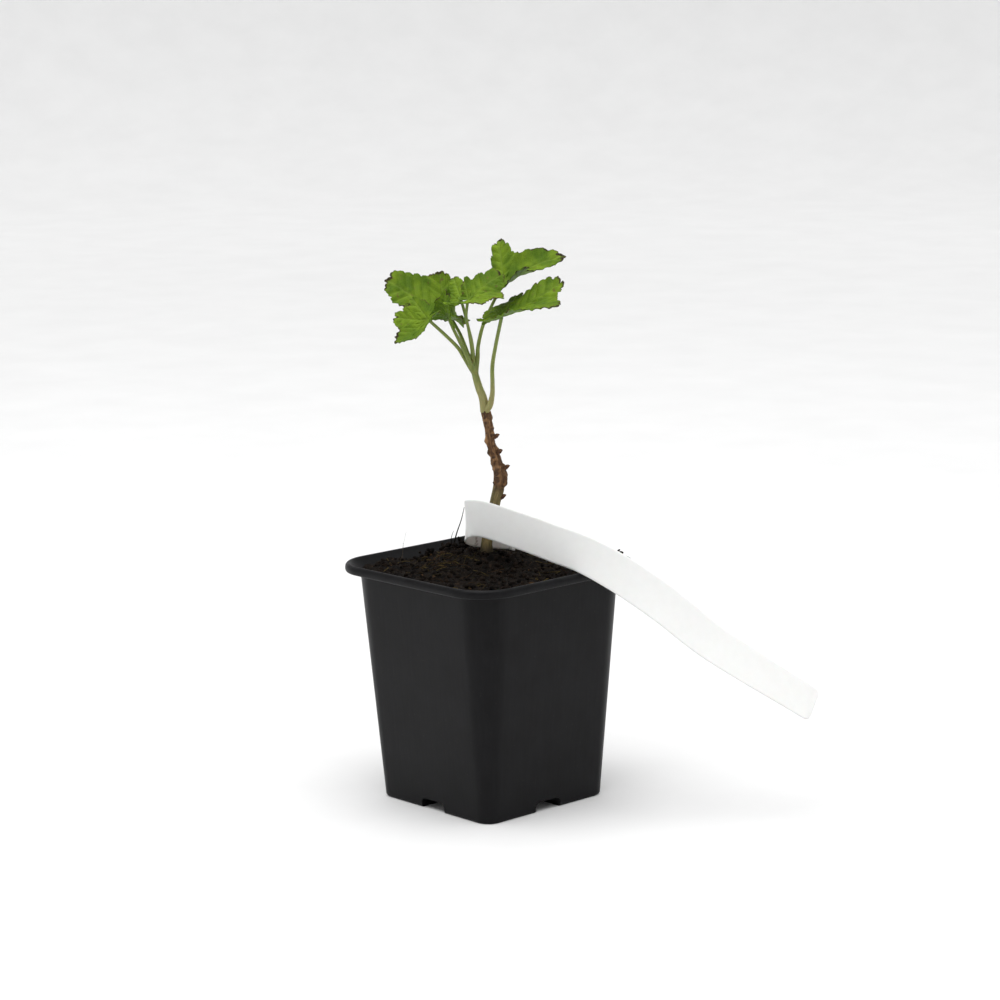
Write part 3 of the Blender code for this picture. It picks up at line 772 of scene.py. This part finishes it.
def make_stem():
    """Bark tube: radius x (1 + ridges + scales - cracks + knot), and a dark band above the foot."""
    rows = smooth_rows(STEM, 46)
    centre, out, angle, _ = tube_grid(rows, STEM_AROUND)
    up = rows[:, 2][:, None]
    ring = PATTERN_RADIUS * np.stack([np.cos(angle), np.sin(angle)], axis=-1)
    spot = np.concatenate([np.broadcast_to(ring, (len(rows), STEM_AROUND, 2)),
                           np.broadcast_to(up[..., None], (len(rows), STEM_AROUND, 1))], axis=-1)
    old = blend(121, 125, up) * np.ones_like(angle)
    ridges = field(spot * [1, 1, 0.22], 0.9) * 0.10 + field(spot * [1, 1, 0.3] + 50, 0.45) * 0.05
    scales = np.maximum(field(spot * [1, 1, 0.7] + 10, 1.5), 0) ** 1.3 * 0.55
    cracks = -0.16 * blend(0.35, 0.6, abs(field(spot * [1, 1, 0.35] + 70, 1.1)) * 2)
    relief = ridges * (0.4 + 0.6 * old) + (scales + cracks) * old
    knot = 0.16 * np.exp(-((up - 127.5) / 2.2) ** 2) * (1 + np.cos(angle + 0.4))
    radius = rows[:, 3][:, None] * (1 + relief + knot)
    points = centre[:, None] + out * radius[..., None]
    high = blend(-0.12, 0.3, relief + 0.12 * field(spot, 0.8))
    bark = mix((0.105, 0.052, 0.022), (0.34, 0.19, 0.085), high)
    scaly = 0.85 * blend(0.12, 0.35, scales * 0.9 + 0.3 * field(spot + 33, 1.3))
    bark = mix(bark, (0.03, 0.014, 0.008), scaly)
    pale = blend(-0.5, 0.5, field(spot * [1, 1, 0.3], 1.2))
    young = mix((0.15, 0.13, 0.05), (0.30, 0.24, 0.11), pale)
    band = np.exp(-((up - 124.5) / 2.6) ** 2) * np.ones_like(angle)
    tint = mix(young, bark, old)
    tint = mix(tint, (0.035, 0.017, 0.01), 0.75 * band * blend(-0.5, 0.4, field(spot + 5, 1.6)))
    tint = mix(tint, (0.02, 0.014, 0.01), 0.8 * (1 - blend(98, 102, up)) * np.ones_like(angle))
    piece = capped_tube("stem_bark", points, tint)
    dress(piece, BARK_LOOK, "old_bark", "stem")


make_stem()

# %% [markdown]
# Each bud is a pointed drop wrapped in overlapping scales, dark at the tips. A row gives its
# height on the stem, the side it leans to in degrees and its length.

# %% Buds
BUD_RADIUS = 1.05
SCALE_ROWS = 3.2
BUDS = {
    "bud_low": (118.0, -20, 2.6),
    "bud_knot": (130.0, -15, 2.4),
    "bud_middle": (136.6, -35, 2.2),
    "bud_high": (142.5, -10, 2.2),
}


def make_bud(name, height, side, length):
    """A drop along its own axis: radius = sine hump x (0.9 + rows of scales)."""
    rows = smooth_rows(STEM, 8)
    across, deep, radius = (np.interp(height, rows[:, 2], rows[:, k]) for k in (0, 1, 3))
    out = np.array([cos(radians(side)), sin(radians(side)), 0])
    start = np.array([across, deep, height]) + out * (radius * 0.75)
    tip = start + (out + np.array([0, 0, 0.75])) * (length + 0.35)
    share = np.linspace(0.0, 1, 40)[:, None]
    path = start + (tip - start) * share + np.array([0, 0, 0.5]) * np.sin(share * pi)
    narrowing = 1.05 - 0.45 * share[:, 0]
    hump = BUD_RADIUS * np.sin(np.clip(share[:, 0], 0.02, 0.985) * pi) ** 0.7 * narrowing
    centre, around, angle, _ = tube_grid(np.column_stack([path, hump]), 40)
    row = share * SCALE_ROWS
    scale = (row + 0.35 * np.cos(angle * 2 + 3 * np.floor(row))) % 1.0
    radii = hump[:, None] * (0.9 + 0.14 * scale)
    points = centre[:, None] + around * radii[..., None]
    tint = mix((0.16, 0.075, 0.035), (0.035, 0.016, 0.01), blend(0.2, 0.95, scale))
    piece = capped_tube(name + "_scales", points, tint)
    dress(piece, BARK_LOOK, "bud_scale", name)


for bud, numbers in BUDS.items():
    make_bud(bud, *numbers)
print("stem and buds done")

# %% [markdown]
# This year's shoot is pale where it leaves the old wood and green above. Petioles leave it in
# flared sheaths, taper, and are grooved on the side that faces up.

# %% Shoot and petioles
SHOOT = [
    (-0.3, 5.2, 153.4, 1.75),
    (-1.2, 5.0, 158.8, 1.6),
    (-2.6, 4.5, 162.9, 1.5),
    (-3.9, 4.0, 168.0, 1.35),
    (-4.9, 3.2, 173.6, 1.1),
    (-5.1, 2.9, 177.6, 0.5),
]

PETIOLES = {
    "petiole_left_low": [
        (-3.6, 4.0, 167.6, 0.9), (-6.0, 3.0, 171.6, 0.95), (-8.3, 1.7, 175.6, 0.8),
        (-10.6, -1.8, 179.8, 0.72), (-15.3, -8.6, 185.7, 0.66), (-20.5, -14.9, 191.6, 0.62),
        (-21.6, -15.9, 192.9, 0.6),
    ],
    "petiole_left_front": [
        (-3.8, 3.9, 168.4, 0.9), (-5.4, 1.7, 171.8, 0.95), (-7.2, -0.6, 176.5, 0.78),
        (-9.7, -2.9, 182.2, 0.68), (-11.8, -5.1, 186.9, 0.62), (-13.8, -7.3, 192.0, 0.6),
    ],
    "petiole_left_high": [
        (-4.2, 3.9, 168.6, 0.9), (-5.6, 4.8, 172.0, 0.95), (-6.8, 5.6, 176.3, 0.8),
        (-9.1, 7.7, 182.5, 0.68), (-11.3, 10.1, 186.6, 0.62), (-13.7, 13.1, 190.3, 0.6),
    ],
    "petiole_back": [
        (-4.6, 3.6, 172.4, 0.8), (-4.8, 4.9, 176.5, 0.8), (-5.3, 5.3, 181.5, 0.7),
        (-6.3, 6.0, 186.2, 0.62), (-7.7, 7.5, 192.2, 0.58), (-9.2, 9.0, 197.6, 0.55),
    ],
    "petiole_middle": [
        (-4.8, 3.1, 173.4, 0.75), (-4.9, 1.4, 177.5, 0.75), (-5.4, -0.8, 181.7, 0.68),
        (-6.2, -5.0, 187.5, 0.6), (-6.9, -10.8, 193.1, 0.56), (-6.1, -16.2, 199.8, 0.55),
    ],
    "petiole_right_high": [
        (-3.9, 4.0, 168.8, 0.9), (-3.0, 3.7, 174.5, 0.85), (-2.6, 4.0, 179.5, 0.75),
        (-0.6, 4.8, 187.2, 0.68), (3.0, 5.8, 195.0, 0.62), (7.6, 4.7, 203.8, 0.58),
    ],
    "petiole_right_low": [
        (-0.2, 5.0, 153.6, 1.1), (1.5, 3.2, 156.2, 1.15), (2.5, 2.1, 160.4, 0.95),
        (2.7, 0.5, 164.9, 0.85), (2.8, -3.0, 172.5, 0.78), (4.2, -7.2, 181.0, 0.72),
        (6.6, -13.2, 192.5, 0.68),
    ],
}


def green_tint(spot, up):
    """Cream near the old wood, light green above, with long faint streaks."""
    streak = field(spot * [1, 1, 0.12], 0.5)
    low = mix((0.33, 0.31, 0.12), (0.20, 0.25, 0.055), blend(158, 172, up))
    low = mix(low, (0.15, 0.22, 0.04), 0.7 * blend(176, 192, up))
    return low * (1 + 0.14 * streak[..., None])


def stalk(name, rows, steps, around, nodes, groove, sheath):
    """A soft stalk: radius x (1 + fibres - groove on the upper side + sheath at its foot)."""
    rows = smooth_rows(rows, steps)
    centre, out, angle, length = tube_grid(rows, around)
    foot = np.exp(-length / 2.6)[:, None]
    fibres = 0.035 * np.sin(angle * 9) + 0.02 * np.sin(angle * 5 + length[:, None] * 0.3)
    channel = groove * np.exp(-((np.angle(np.exp(1j * (angle - pi / 2)))) / 0.5) ** 2)
    radius = rows[:, 3][:, None] * (1 + fibres - channel + sheath * foot)
    points = centre[:, None] + out * radius[..., None]
    tint = green_tint(points, points[..., 2])
    tint = mix(tint, (0.34, 0.16, 0.07), 0.35 * foot * blend(-0.2, 0.5, field(points, 1.2)))
    piece = capped_tube(name + "_stalk", points, tint)
    dress(piece, SHOOT_LOOK, "green_shoot", *nodes)


stalk("shoot", SHOOT, 30, 48, ["shoot"], 0.0, 0.12)
for petiole, rows in PETIOLES.items():
    stalk(petiole, rows, 18, 28, [petiole], 0.16, 0.35)
print("shoot and petioles done")

# %% [markdown]
# A blade is a sheet round the end of its petiole. Its margin is a web plus one bell curve for
# each lobe, cut into rounded teeth. Main veins run from the petiole to the lobes, side veins
# leave them at an angle, and the blade swells between them. The margin is brown in places,
# as the photograph shows it.

# %% Leaves
LEAF_SWEEP = 0.94 * pi
LEAF_RINGS = 56
LEAF_SPOKES = 620
BLADE_THICKNESS = 0.28
# How strongly painted shade darkens each blade near its petiole.
PAINTED_BASE_SHADE = 0.35
LARGE_TOOTH = (4.4, 1.55)
SMALL_TOOTH = (1.55, 0.5)
FULL_TEETH_SIZE = 17
LEAVES = {
    "leaf_left_high": dict(
        base=(-13.7, 13.2, 190.6), size=24.3,
        heading=168.0, rise=24.0, roll=-16.0,
        fold=-0.13, droop=0.03, cup=-0.26, twist=-0.47,
        ruffle=0.15, waves=6.0, phase=2.5, web=0.36,
        lobes=[
            (0, 0.8, 0.42, 0), (0.91, 0.55, 0.42, 0.39), (-0.84, 0.35, 0.42, 0.37),
            (1.98, 0.21, 0.42, 0.28), (-1.94, 0.12, 0.42, -0.15),
        ],
        burnt=[(0.0, 0.10, 0.12), (0.9, 0.14, 0.1), (-0.84, 0.12, 0.1), (0.45, 0.08, 0.07)],
    ),
    "leaf_left_low": dict(
        base=(-21.6, -15.9, 192.9), size=16.0,
        heading=186.0, rise=-44.0, roll=-19.0,
        fold=0.45, droop=0.4, cup=0.18, twist=-0.01,
        ruffle=0.03, waves=4.0, phase=0.1, web=0.42,
        lobes=[
            (0, 0.52, 0.47, 0), (0.84, 0.35, 0.36, -0.14), (-0.84, 0.4, 0.36, 0.01),
            (1.69, 0.23, 0.4, 0), (-1.69, 0.23, 0.4, 0.07),
        ],
        burnt=[(-0.2, 0.2, 0.14), (-0.9, 0.15, 0.12), (0.8, 0.1, 0.06)],
    ),
    "leaf_left_front": dict(
        base=(-13.8, -7.5, 192.4), size=10.5,
        heading=-110.0, rise=40.0, roll=-36.0,
        fold=-0.26, droop=0.68, cup=-0.68, twist=-0.15,
        ruffle=0.01, waves=4.0, phase=2.4, web=0.42,
        lobes=[
            (0, 0.74, 0.5, 0), (0.84, 0.28, 0.36, 0), (-0.84, 0.28, 0.36, -0.31),
            (1.69, 0.07, 0.4, 0), (-1.69, 0.42, 0.4, -0.16),
        ],
        burnt=[(0.0, 0.2, 0.08)],
    ),
    "leaf_back": dict(
        base=(-9.2, 9.0, 197.7), size=12.0,
        heading=98.0, rise=19.0, roll=-28.0,
        fold=0.05, droop=0.18, cup=0, twist=-0.08,
        ruffle=0.04, waves=4.0, phase=0.9, web=0.42,
        lobes=[
            (0, 0.83, 0.37, 0), (1.02, 0.15, 0.36, 0), (-1.02, 0.15, 0.36, -0.01),
            (2.03, 0.1, 0.4, 0.09), (-2.03, 0.1, 0.4, 0.11),
        ],
        burnt=[(0.0, 0.15, 0.06)],
    ),
    "leaf_middle": dict(
        base=(-6.1, -16.3, 200.0), size=15.7,
        heading=-34.0, rise=27.0, roll=26.0,
        fold=0.47, droop=-0.67, cup=0.45, twist=0.06,
        ruffle=0.11, waves=3.4, phase=-2.4, web=0.36,
        lobes=[
            (0, 0.48, 0.34, 0), (0.79, 0.7, 0.42, -0.36), (-0.75, 0.54, 0.42, -0.28),
            (1.72, 0.13, 0.42, 0.19), (-2.11, 0.19, 0.42, 0.05),
        ],
        burnt=[(0.79, 0.12, 0.08), (-0.75, 0.15, 0.08)],
    ),
    "leaf_right_high": dict(
        base=(7.6, 4.5, 203.9), size=22.3,
        heading=11.0, rise=33.0, roll=24.0,
        fold=0.4, droop=-0.42, cup=0.21, twist=0.14,
        ruffle=0.14, waves=4.0, phase=-0.3, web=0.36,
        lobes=[
            (0, 0.8, 0.4, 0), (1.06, 0.48, 0.41, 0.03), (-1.02, 0.36, 0.41, 0.16),
            (2.06, 0.12, 0.42, -0.32), (-1.96, 0.31, 0.42, 0.13),
        ],
        burnt=[(0.0, 0.18, 0.12), (0.22, 0.1, 0.09), (1.06, 0.12, 0.06), (-1.0, 0.1, 0.07)],
    ),
    "leaf_right_low": dict(
        base=(6.6, -13.4, 192.8), size=26.0,
        heading=6.0, rise=22.0, roll=5.0,
        fold=0.35, droop=0.24, cup=-0.41, twist=0.39,
        ruffle=0.12, waves=4.3, phase=0.3, web=0.36,
        lobes=[
            (0, 0.65, 0.39, 0), (1.04, 0.37, 0.42, -0.11), (-0.77, 0.7, 0.42, 0.03),
            (1.7, 0.28, 0.42, -0.11), (-2.09, 0.22, 0.42, 0.07),
        ],
        burnt=[(0.0, 0.14, 0.08), (-0.77, 0.16, 0.09), (1.0, 0.1, 0.06)],
    ),
}


def smooth_margin(angle, leaf):
    """How far the blade reaches at an angle from its midrib: web + a bell curve for each lobe."""
    reach = np.full_like(angle, leaf["web"])
    for turn, length, width, _ in leaf["lobes"]:
        reach += length * np.exp(-((angle - turn) / width) ** 2)
    notch = np.clip((LEAF_SWEEP + 0.28 - abs(angle)) / 0.65, 0.35, 1) ** 0.8
    return leaf["size"] * reach * notch


def teeth(length, spacing, depth, rng):
    """Bites along a margin: between two cuts the edge bulges out as a rounded, leaning tooth."""
    count = max(int(length[-1] / spacing), 6)
    cuts = np.linspace(0, length[-1], count + 1)
    cuts[1:-1] += rng.uniform(-0.28, 0.28, count - 1) * spacing
    index = np.clip(np.searchsorted(cuts, length) - 1, 0, count - 1)
    part = np.clip((length - cuts[index]) / (cuts[index + 1] - cuts[index]), 0, 1)
    bulge = np.sin(part ** 1.15 * pi) ** 0.6
    return depth * rng.uniform(0.45, 1.4, count)[index] * (1 - bulge)


def toothed_margin(angle, leaf, rng):
    """The margin with large teeth, and small teeth on them, calm near the petiole."""
    margin = smooth_margin(angle, leaf)
    length = path_length(np.column_stack([margin * np.cos(angle), margin * np.sin(angle)]))
    bite = teeth(length, *LARGE_TOOTH, rng) + teeth(length, *SMALL_TOOTH, rng)
    calm = blend(0, 5, np.minimum(length, length[-1] - length))
    return margin + 0.45 - bite * calm * min(leaf["size"] / FULL_TEETH_SIZE, 1.0)


def vein_map(along, aside, leaf):
    """Main and side veins: closeness to a main vein, and the swelling between side veins.

    Each point belongs to the lobe vein that is nearest in angle. s and q are its place along
    and beside that vein. Side veins are the lines where s - 0.75 |q| is a whole step, and
    half a step later on the other side.
    """
    angle = np.arctan2(aside, along)
    turns = np.array([row[0] for row in leaf["lobes"]])
    nearest = turns[np.argmin(abs(angle[..., None] - turns), axis=-1)]
    s = along * np.cos(nearest) + aside * np.sin(nearest)
    q = aside * np.cos(nearest) - along * np.sin(nearest)
    main = np.exp(-(q / (0.28 + 0.012 * np.maximum(s, 0))) ** 2) * blend(-0.5, 1.0, s)
    gap = 0.13 * leaf["size"] + 0.6
    phase = (s - 0.75 * abs(q)) / gap + 0.5 * (q > 0)
    swell = np.sin((phase % 1) * pi) ** 2
    side = (1 - swell) ** 10 * blend(0.0, 0.6, abs(q)) * blend(-0.5, 1.0, s)
    hill = swell ** 0.7 * blend(0.0, 1.6, abs(q))
    return main, side, hill


def leaf_shape(leaf, rng):
    """Points and tint of a blade as a grid of rings and spokes."""
    angle = np.linspace(-LEAF_SWEEP, LEAF_SWEEP, LEAF_SPOKES)
    share = np.linspace(0.012, 1, LEAF_RINGS)[:, None]
    size = leaf["size"]
    plain = smooth_margin(angle, leaf)
    cut = toothed_margin(angle, leaf, rng)
    reach = share * plain + (cut - plain) * share ** 5
    along = reach * np.cos(angle)
    aside = reach * np.sin(angle)
    height = leaf["fold"] * (np.sqrt(aside ** 2 + 4) - 2)
    height = height + leaf["droop"] * along * abs(along) / size / 2
    height = height + leaf["cup"] * aside ** 2 / size / 2 + leaf["twist"] * along * aside / size
    wave = np.sin(leaf["waves"] * angle + leaf["phase"])
    height = height + leaf["ruffle"] * size * share ** 2.2 * wave / 2
    for turn, _, _, lift in leaf["lobes"]:
        height = height + lift * size * share ** 1.6 * np.exp(-((angle - turn) / 0.55) ** 2)
    main, side, hill = vein_map(along, aside, leaf)
    flat = np.stack([along, aside, np.zeros_like(along)], axis=-1) + 7 * size
    pucker = 0.034 * size ** 0.8 * hill + 0.22 * field(flat, 2.6) - 0.35 * main - 0.12 * side
    rim_wave = 0.5 * field(flat * [1, 1, 0], 5.0) + 0.28 * field(flat * [1, 1, 0] + 9, 2.4)
    height = height + pucker * blend(0, 0.15, share) + rim_wave * share ** 3 * size / 20
    heading, rise, roll = (radians(leaf[key]) for key in ("heading", "rise", "roll"))
    midrib = np.array([cos(heading) * cos(rise), sin(heading) * cos(rise), sin(rise)])
    level = np.array([-sin(heading), cos(heading), 0])
    face = np.cross(midrib, level)
    left = cos(roll) * level + sin(roll) * face
    up = cos(roll) * face - sin(roll) * level
    points = np.array(leaf["base"]) + along[..., None] * midrib + aside[..., None] * left
    points = points + height[..., None] * up
    old = blend(-0.6, 0.7, field(flat, 6.0) + 0.5 * field(flat + 70, 1.7))
    tint = mix((0.060, 0.130, 0.003), (0.120, 0.215, 0.006), old)
    tint = mix(tint, (0.15, 0.24, 0.02), np.clip(0.4 * main + 0.13 * side, 0, 1))
    tint = mix(tint, (0.036, 0.09, 0.002), 0.4 * hill * blend(-0.2, 0.6, field(flat + 3, 3.0)))
    # Painted shade: patches of the blade near its petiole are darkened, as shade falls there.
    shade = blend(0.30, 0.0, share) * blend(-0.3, 0.5, field(flat + 90, 4.0))
    tint = tint * (1 - PAINTED_BASE_SHADE * shade)[..., None]
    edge = (1 - share) * reach[-1]
    burn = np.zeros_like(along)
    for turn, width, deep in leaf["burnt"]:
        ragged = 0.6 + 0.7 * field(flat + 30, 1.2)
        bell = np.exp(-((angle - turn) / width) ** 2)
        burn = np.maximum(burn, blend(0, 0.3, bell * ragged * deep * size * 0.9 - edge))
    fringe = blend(0.1, 0.5, field(flat + 50, 2.6)) * blend(0.75, 0.0, edge)
    burn = np.maximum(burn, fringe)
    speck = blend(0.72, 0.8, field(flat + 80, 0.9)) * blend(0.3, 0.8, share)
    tint = mix(tint, (0.13, 0.10, 0.015), 0.6 * blend(0.05, 0.6, burn))
    tint = mix(tint, (0.022, 0.010, 0.005), blend(0.35, 0.9, burn))
    tint = mix(tint, (0.10, 0.05, 0.015), 0.8 * speck)
    return points, tint


def make_leaf(number, name, leaf):
    """A blade with a real thickness, its upper face and its paler underside."""
    rng = np.random.default_rng(100 + number)
    points, tint = leaf_shape(leaf, rng)
    faces = grid_faces(LEAF_RINGS, LEAF_SPOKES)
    piece = mesh_object(name + "_blade", placed(points.reshape(-1, 3)), faces.tolist(),
                        tint.reshape(-1, 3))
    piece.data.materials.append(LEAF_TOP_LOOK)
    piece.data.materials.append(LEAF_UNDER_LOOK)
    thick = piece.modifiers.new("thickness", "SOLIDIFY")
    thick.thickness = BLADE_THICKNESS * MM
    thick.offset = 0
    thick.material_offset = 1
    keep_modified(piece)
    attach(piece, "root")
    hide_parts(name)


for number, (leaf_name, leaf) in enumerate(LEAVES.items()):
    make_leaf(number, leaf_name, leaf)
print("leaves done")

# %% [markdown]
# The label is one thin white strip: once round the stem and on over the rim, with nothing
# Its lower edge and the inside of the loop carry a little soil, and the low part of the loop
# is tinted beige: partly soil stain, partly painted shade with a warm reflection from the soil.

# %% Label
LABEL_ROWS = [
    (8.2, -9.6, 108.2, 0),
    (10.2, -3.5, 106.9, 0),
    (9.3, 4.0, 105.5, 0),
    (6.0, 9.8, 104.7, 0),
    (0.8, 12.6, 104.5, 0),
    (-4.9, 11.2, 105.7, 0),
    (-8.4, 6.0, 108.6, 0),
    (-8.0, 0.3, 111.6, 0),
    (-4.6, -3.4, 112.6, 0),
    (0.2, -6.6, 112.1, 0),
    (8.0, -12.0, 110.4, 2),
    (16.4, -17.4, 108.4, 4),
    (25.4, -22.6, 105.8, 6),
    (36.3, -28.2, 102.6, 8),
    (45.0, -32.0, 98.6, 12),
    (54.2, -35.2, 93.3, 18),
    (67.2, -39.0, 84.3, 26),
    (83.7, -42.0, 71.0, 32),
    (101.3, -43.0, 59.2, 36),
    (117.7, -42.0, 48.4, 38),
    (123.5, -41.3, 44.4, 38),
]
LABEL_WIDTH = 14.5
LABEL_THICKNESS = 0.36
LABEL_CORNER = 2.5
LABEL_COLUMNS = 25


def make_label():
    """A closed strip: its section is a thin slab, thinner still at its two edges."""
    rows = smooth_rows(LABEL_ROWS, 26)
    centre = rows[:, :3]
    forward = unit(np.gradient(centre, axis=0))
    face = unit(np.cross(forward, [0, 0, 1]))
    upright = np.cross(face, forward)
    lean = np.radians(rows[:, 3])[:, None]
    wide = upright * np.cos(lean) - face * np.sin(lean)
    out = np.cross(wide, forward)
    length = path_length(centre)
    short = 1 - np.minimum(length[-1] - length, LABEL_CORNER) / LABEL_CORNER
    round_end = np.sqrt(np.clip(1 - short ** 2, 0, 1))
    half = LABEL_WIDTH / 2 - LABEL_CORNER * (1 - round_end)
    half = half * (0.55 + 0.45 * blend(0, 5, length))
    run = np.linspace(-1, 1, LABEL_COLUMNS)
    across = np.concatenate([run, -run])
    side = np.repeat([-0.5, 0.5], LABEL_COLUMNS)
    thin = np.where(abs(across) > 0.985, 0.5, 1.0)
    points = centre[:, None] + wide[:, None] * (across * half[:, None])[..., None]
    points = points + out[:, None] * (side * thin * LABEL_THICKNESS)[:, None]
    dirt = blend(0.35, 0.7, field(points, 1.6) + 0.35 * field(points + 8, 0.6))
    near = blend(108, 100, points[..., 2]) * blend(62, 50, length)[:, None]
    tint = mix((0.88, 0.88, 0.87), (0.09, 0.06, 0.04), 0.8 * dirt * near)
    # Partly soil stain and partly painted shade with a warm reflection: the low part of the loop is
    # tinted beige.
    tint = mix(tint, (0.60, 0.55, 0.45), 0.25 * near)
    piece = capped_tube("label_strip", points, tint)
    dress(piece, LABEL_LOOK, "white_plastic", "label_loop", "label_tail")


make_label()

# %% [markdown]
# The camera repeats the photograph's: a long lens, tilted 10.6 degrees down. The floor turns up
# into a pale wall, one large soft lamp hangs over the plant, and a wide sun and an even sky fill
# the room.

# %% Camera, floor and light
PITCH = radians(10.649)
ROLL = radians(-0.995)
DISTANCE = 1184.0
TARGET = np.array([4.819, 0.0, 119.047])
SENSOR = 36.0
LENS = 108.94
FLOOR_RADIUS = 2600
WALL_BEND = 900
WALL_TOP = 2400
FLOOR_AROUND = 96
PLANT_MIDDLE = 120
LAMP_PLACE = (-250, -150, 1300)
LAMP_SIZE = 1.2
LAMP_POWER = 9.0
SUN_POWER = 1.5
SUN_ANGLE = radians(70)
SUN_FROM = [0.10, -0.16, 1.0]
SKY_POWER = 0.42
forward = np.array([0, cos(PITCH), -sin(PITCH)])
right = np.array([1.0, 0, 0])
above = np.cross(right, forward)
side_axis = cos(ROLL) * right + sin(ROLL) * above
up_axis = -sin(ROLL) * right + cos(ROLL) * above
camera_data = bpy.data.cameras.new("photo_camera")
camera_data.sensor_width = SENSOR
camera_data.lens = LENS
camera_data.clip_start = 0.05
camera = bpy.data.objects.new("photo_camera", camera_data)
bpy.context.scene.collection.objects.link(camera)
axes = np.column_stack([turned(side_axis), turned(up_axis), -turned(forward)])
matrix = Matrix(axes.tolist()).to_4x4()
matrix.translation = Vector(placed(TARGET - forward * DISTANCE))
camera.matrix_world = matrix
bpy.context.scene.camera = camera


def make_floor():
    """A pale round floor that turns up into a low wall all round, far from the plant."""
    flat = [(reach, 0.0) for reach in np.linspace(1, FLOOR_RADIUS, 30)]
    bend = np.linspace(0, pi / 2, 25)[1:]
    arc = [(FLOOR_RADIUS + WALL_BEND * sin(b), WALL_BEND * (1 - cos(b))) for b in bend]
    profile = np.array(flat + arc + [(FLOOR_RADIUS + WALL_BEND, WALL_TOP)])
    count = FLOOR_AROUND
    angle = np.linspace(0, 2 * pi, count, endpoint=False)
    points = np.stack([profile[:, :1] * np.cos(angle), profile[:, :1] * np.sin(angle),
                       np.broadcast_to(profile[:, 1:], (len(profile), count))], axis=-1)
    faces = grid_faces(len(profile), count, True).tolist() + [list(range(count))]
    floor = mesh_object("floor", placed(points.reshape(-1, 3)), faces)
    made = Finish("floor_look", 0.8, specular=0.2)
    grain = made.noise(60.0, 3.0)
    colour = made.mixed(made.spread(grain, 0.3, 0.7), (0.86, 0.86, 0.86), (0.89, 0.89, 0.89))
    floor.data.materials.append(made.done(colour))


def new_light(name, kind, power, toward):
    """A light that faces against a direction from the plant towards it."""
    data = bpy.data.lights.new(name, kind)
    data.energy = power
    light = bpy.data.objects.new(name, data)
    bpy.context.scene.collection.objects.link(light)
    light.rotation_euler = Vector(toward).to_track_quat("Z", "Y").to_euler()
    return light


make_floor()
lamp_spot = Vector(placed(LAMP_PLACE))
lamp = new_light("top_soft", "AREA", LAMP_POWER, lamp_spot - Vector(placed((0, 0, PLANT_MIDDLE))))
lamp.location = lamp_spot
lamp.data.size = LAMP_SIZE
sun = new_light("ceiling", "SUN", SUN_POWER, turned(SUN_FROM))
sun.data.angle = SUN_ANGLE
world = bpy.data.worlds.new("studio")
world.use_nodes = True
world.node_tree.nodes["Background"].inputs["Color"].default_value = (1, 1, 1, 1)
world.node_tree.nodes["Background"].inputs["Strength"].default_value = SKY_POWER
bpy.context.scene.world = world
bpy.context.scene.view_settings.view_transform = "Standard"
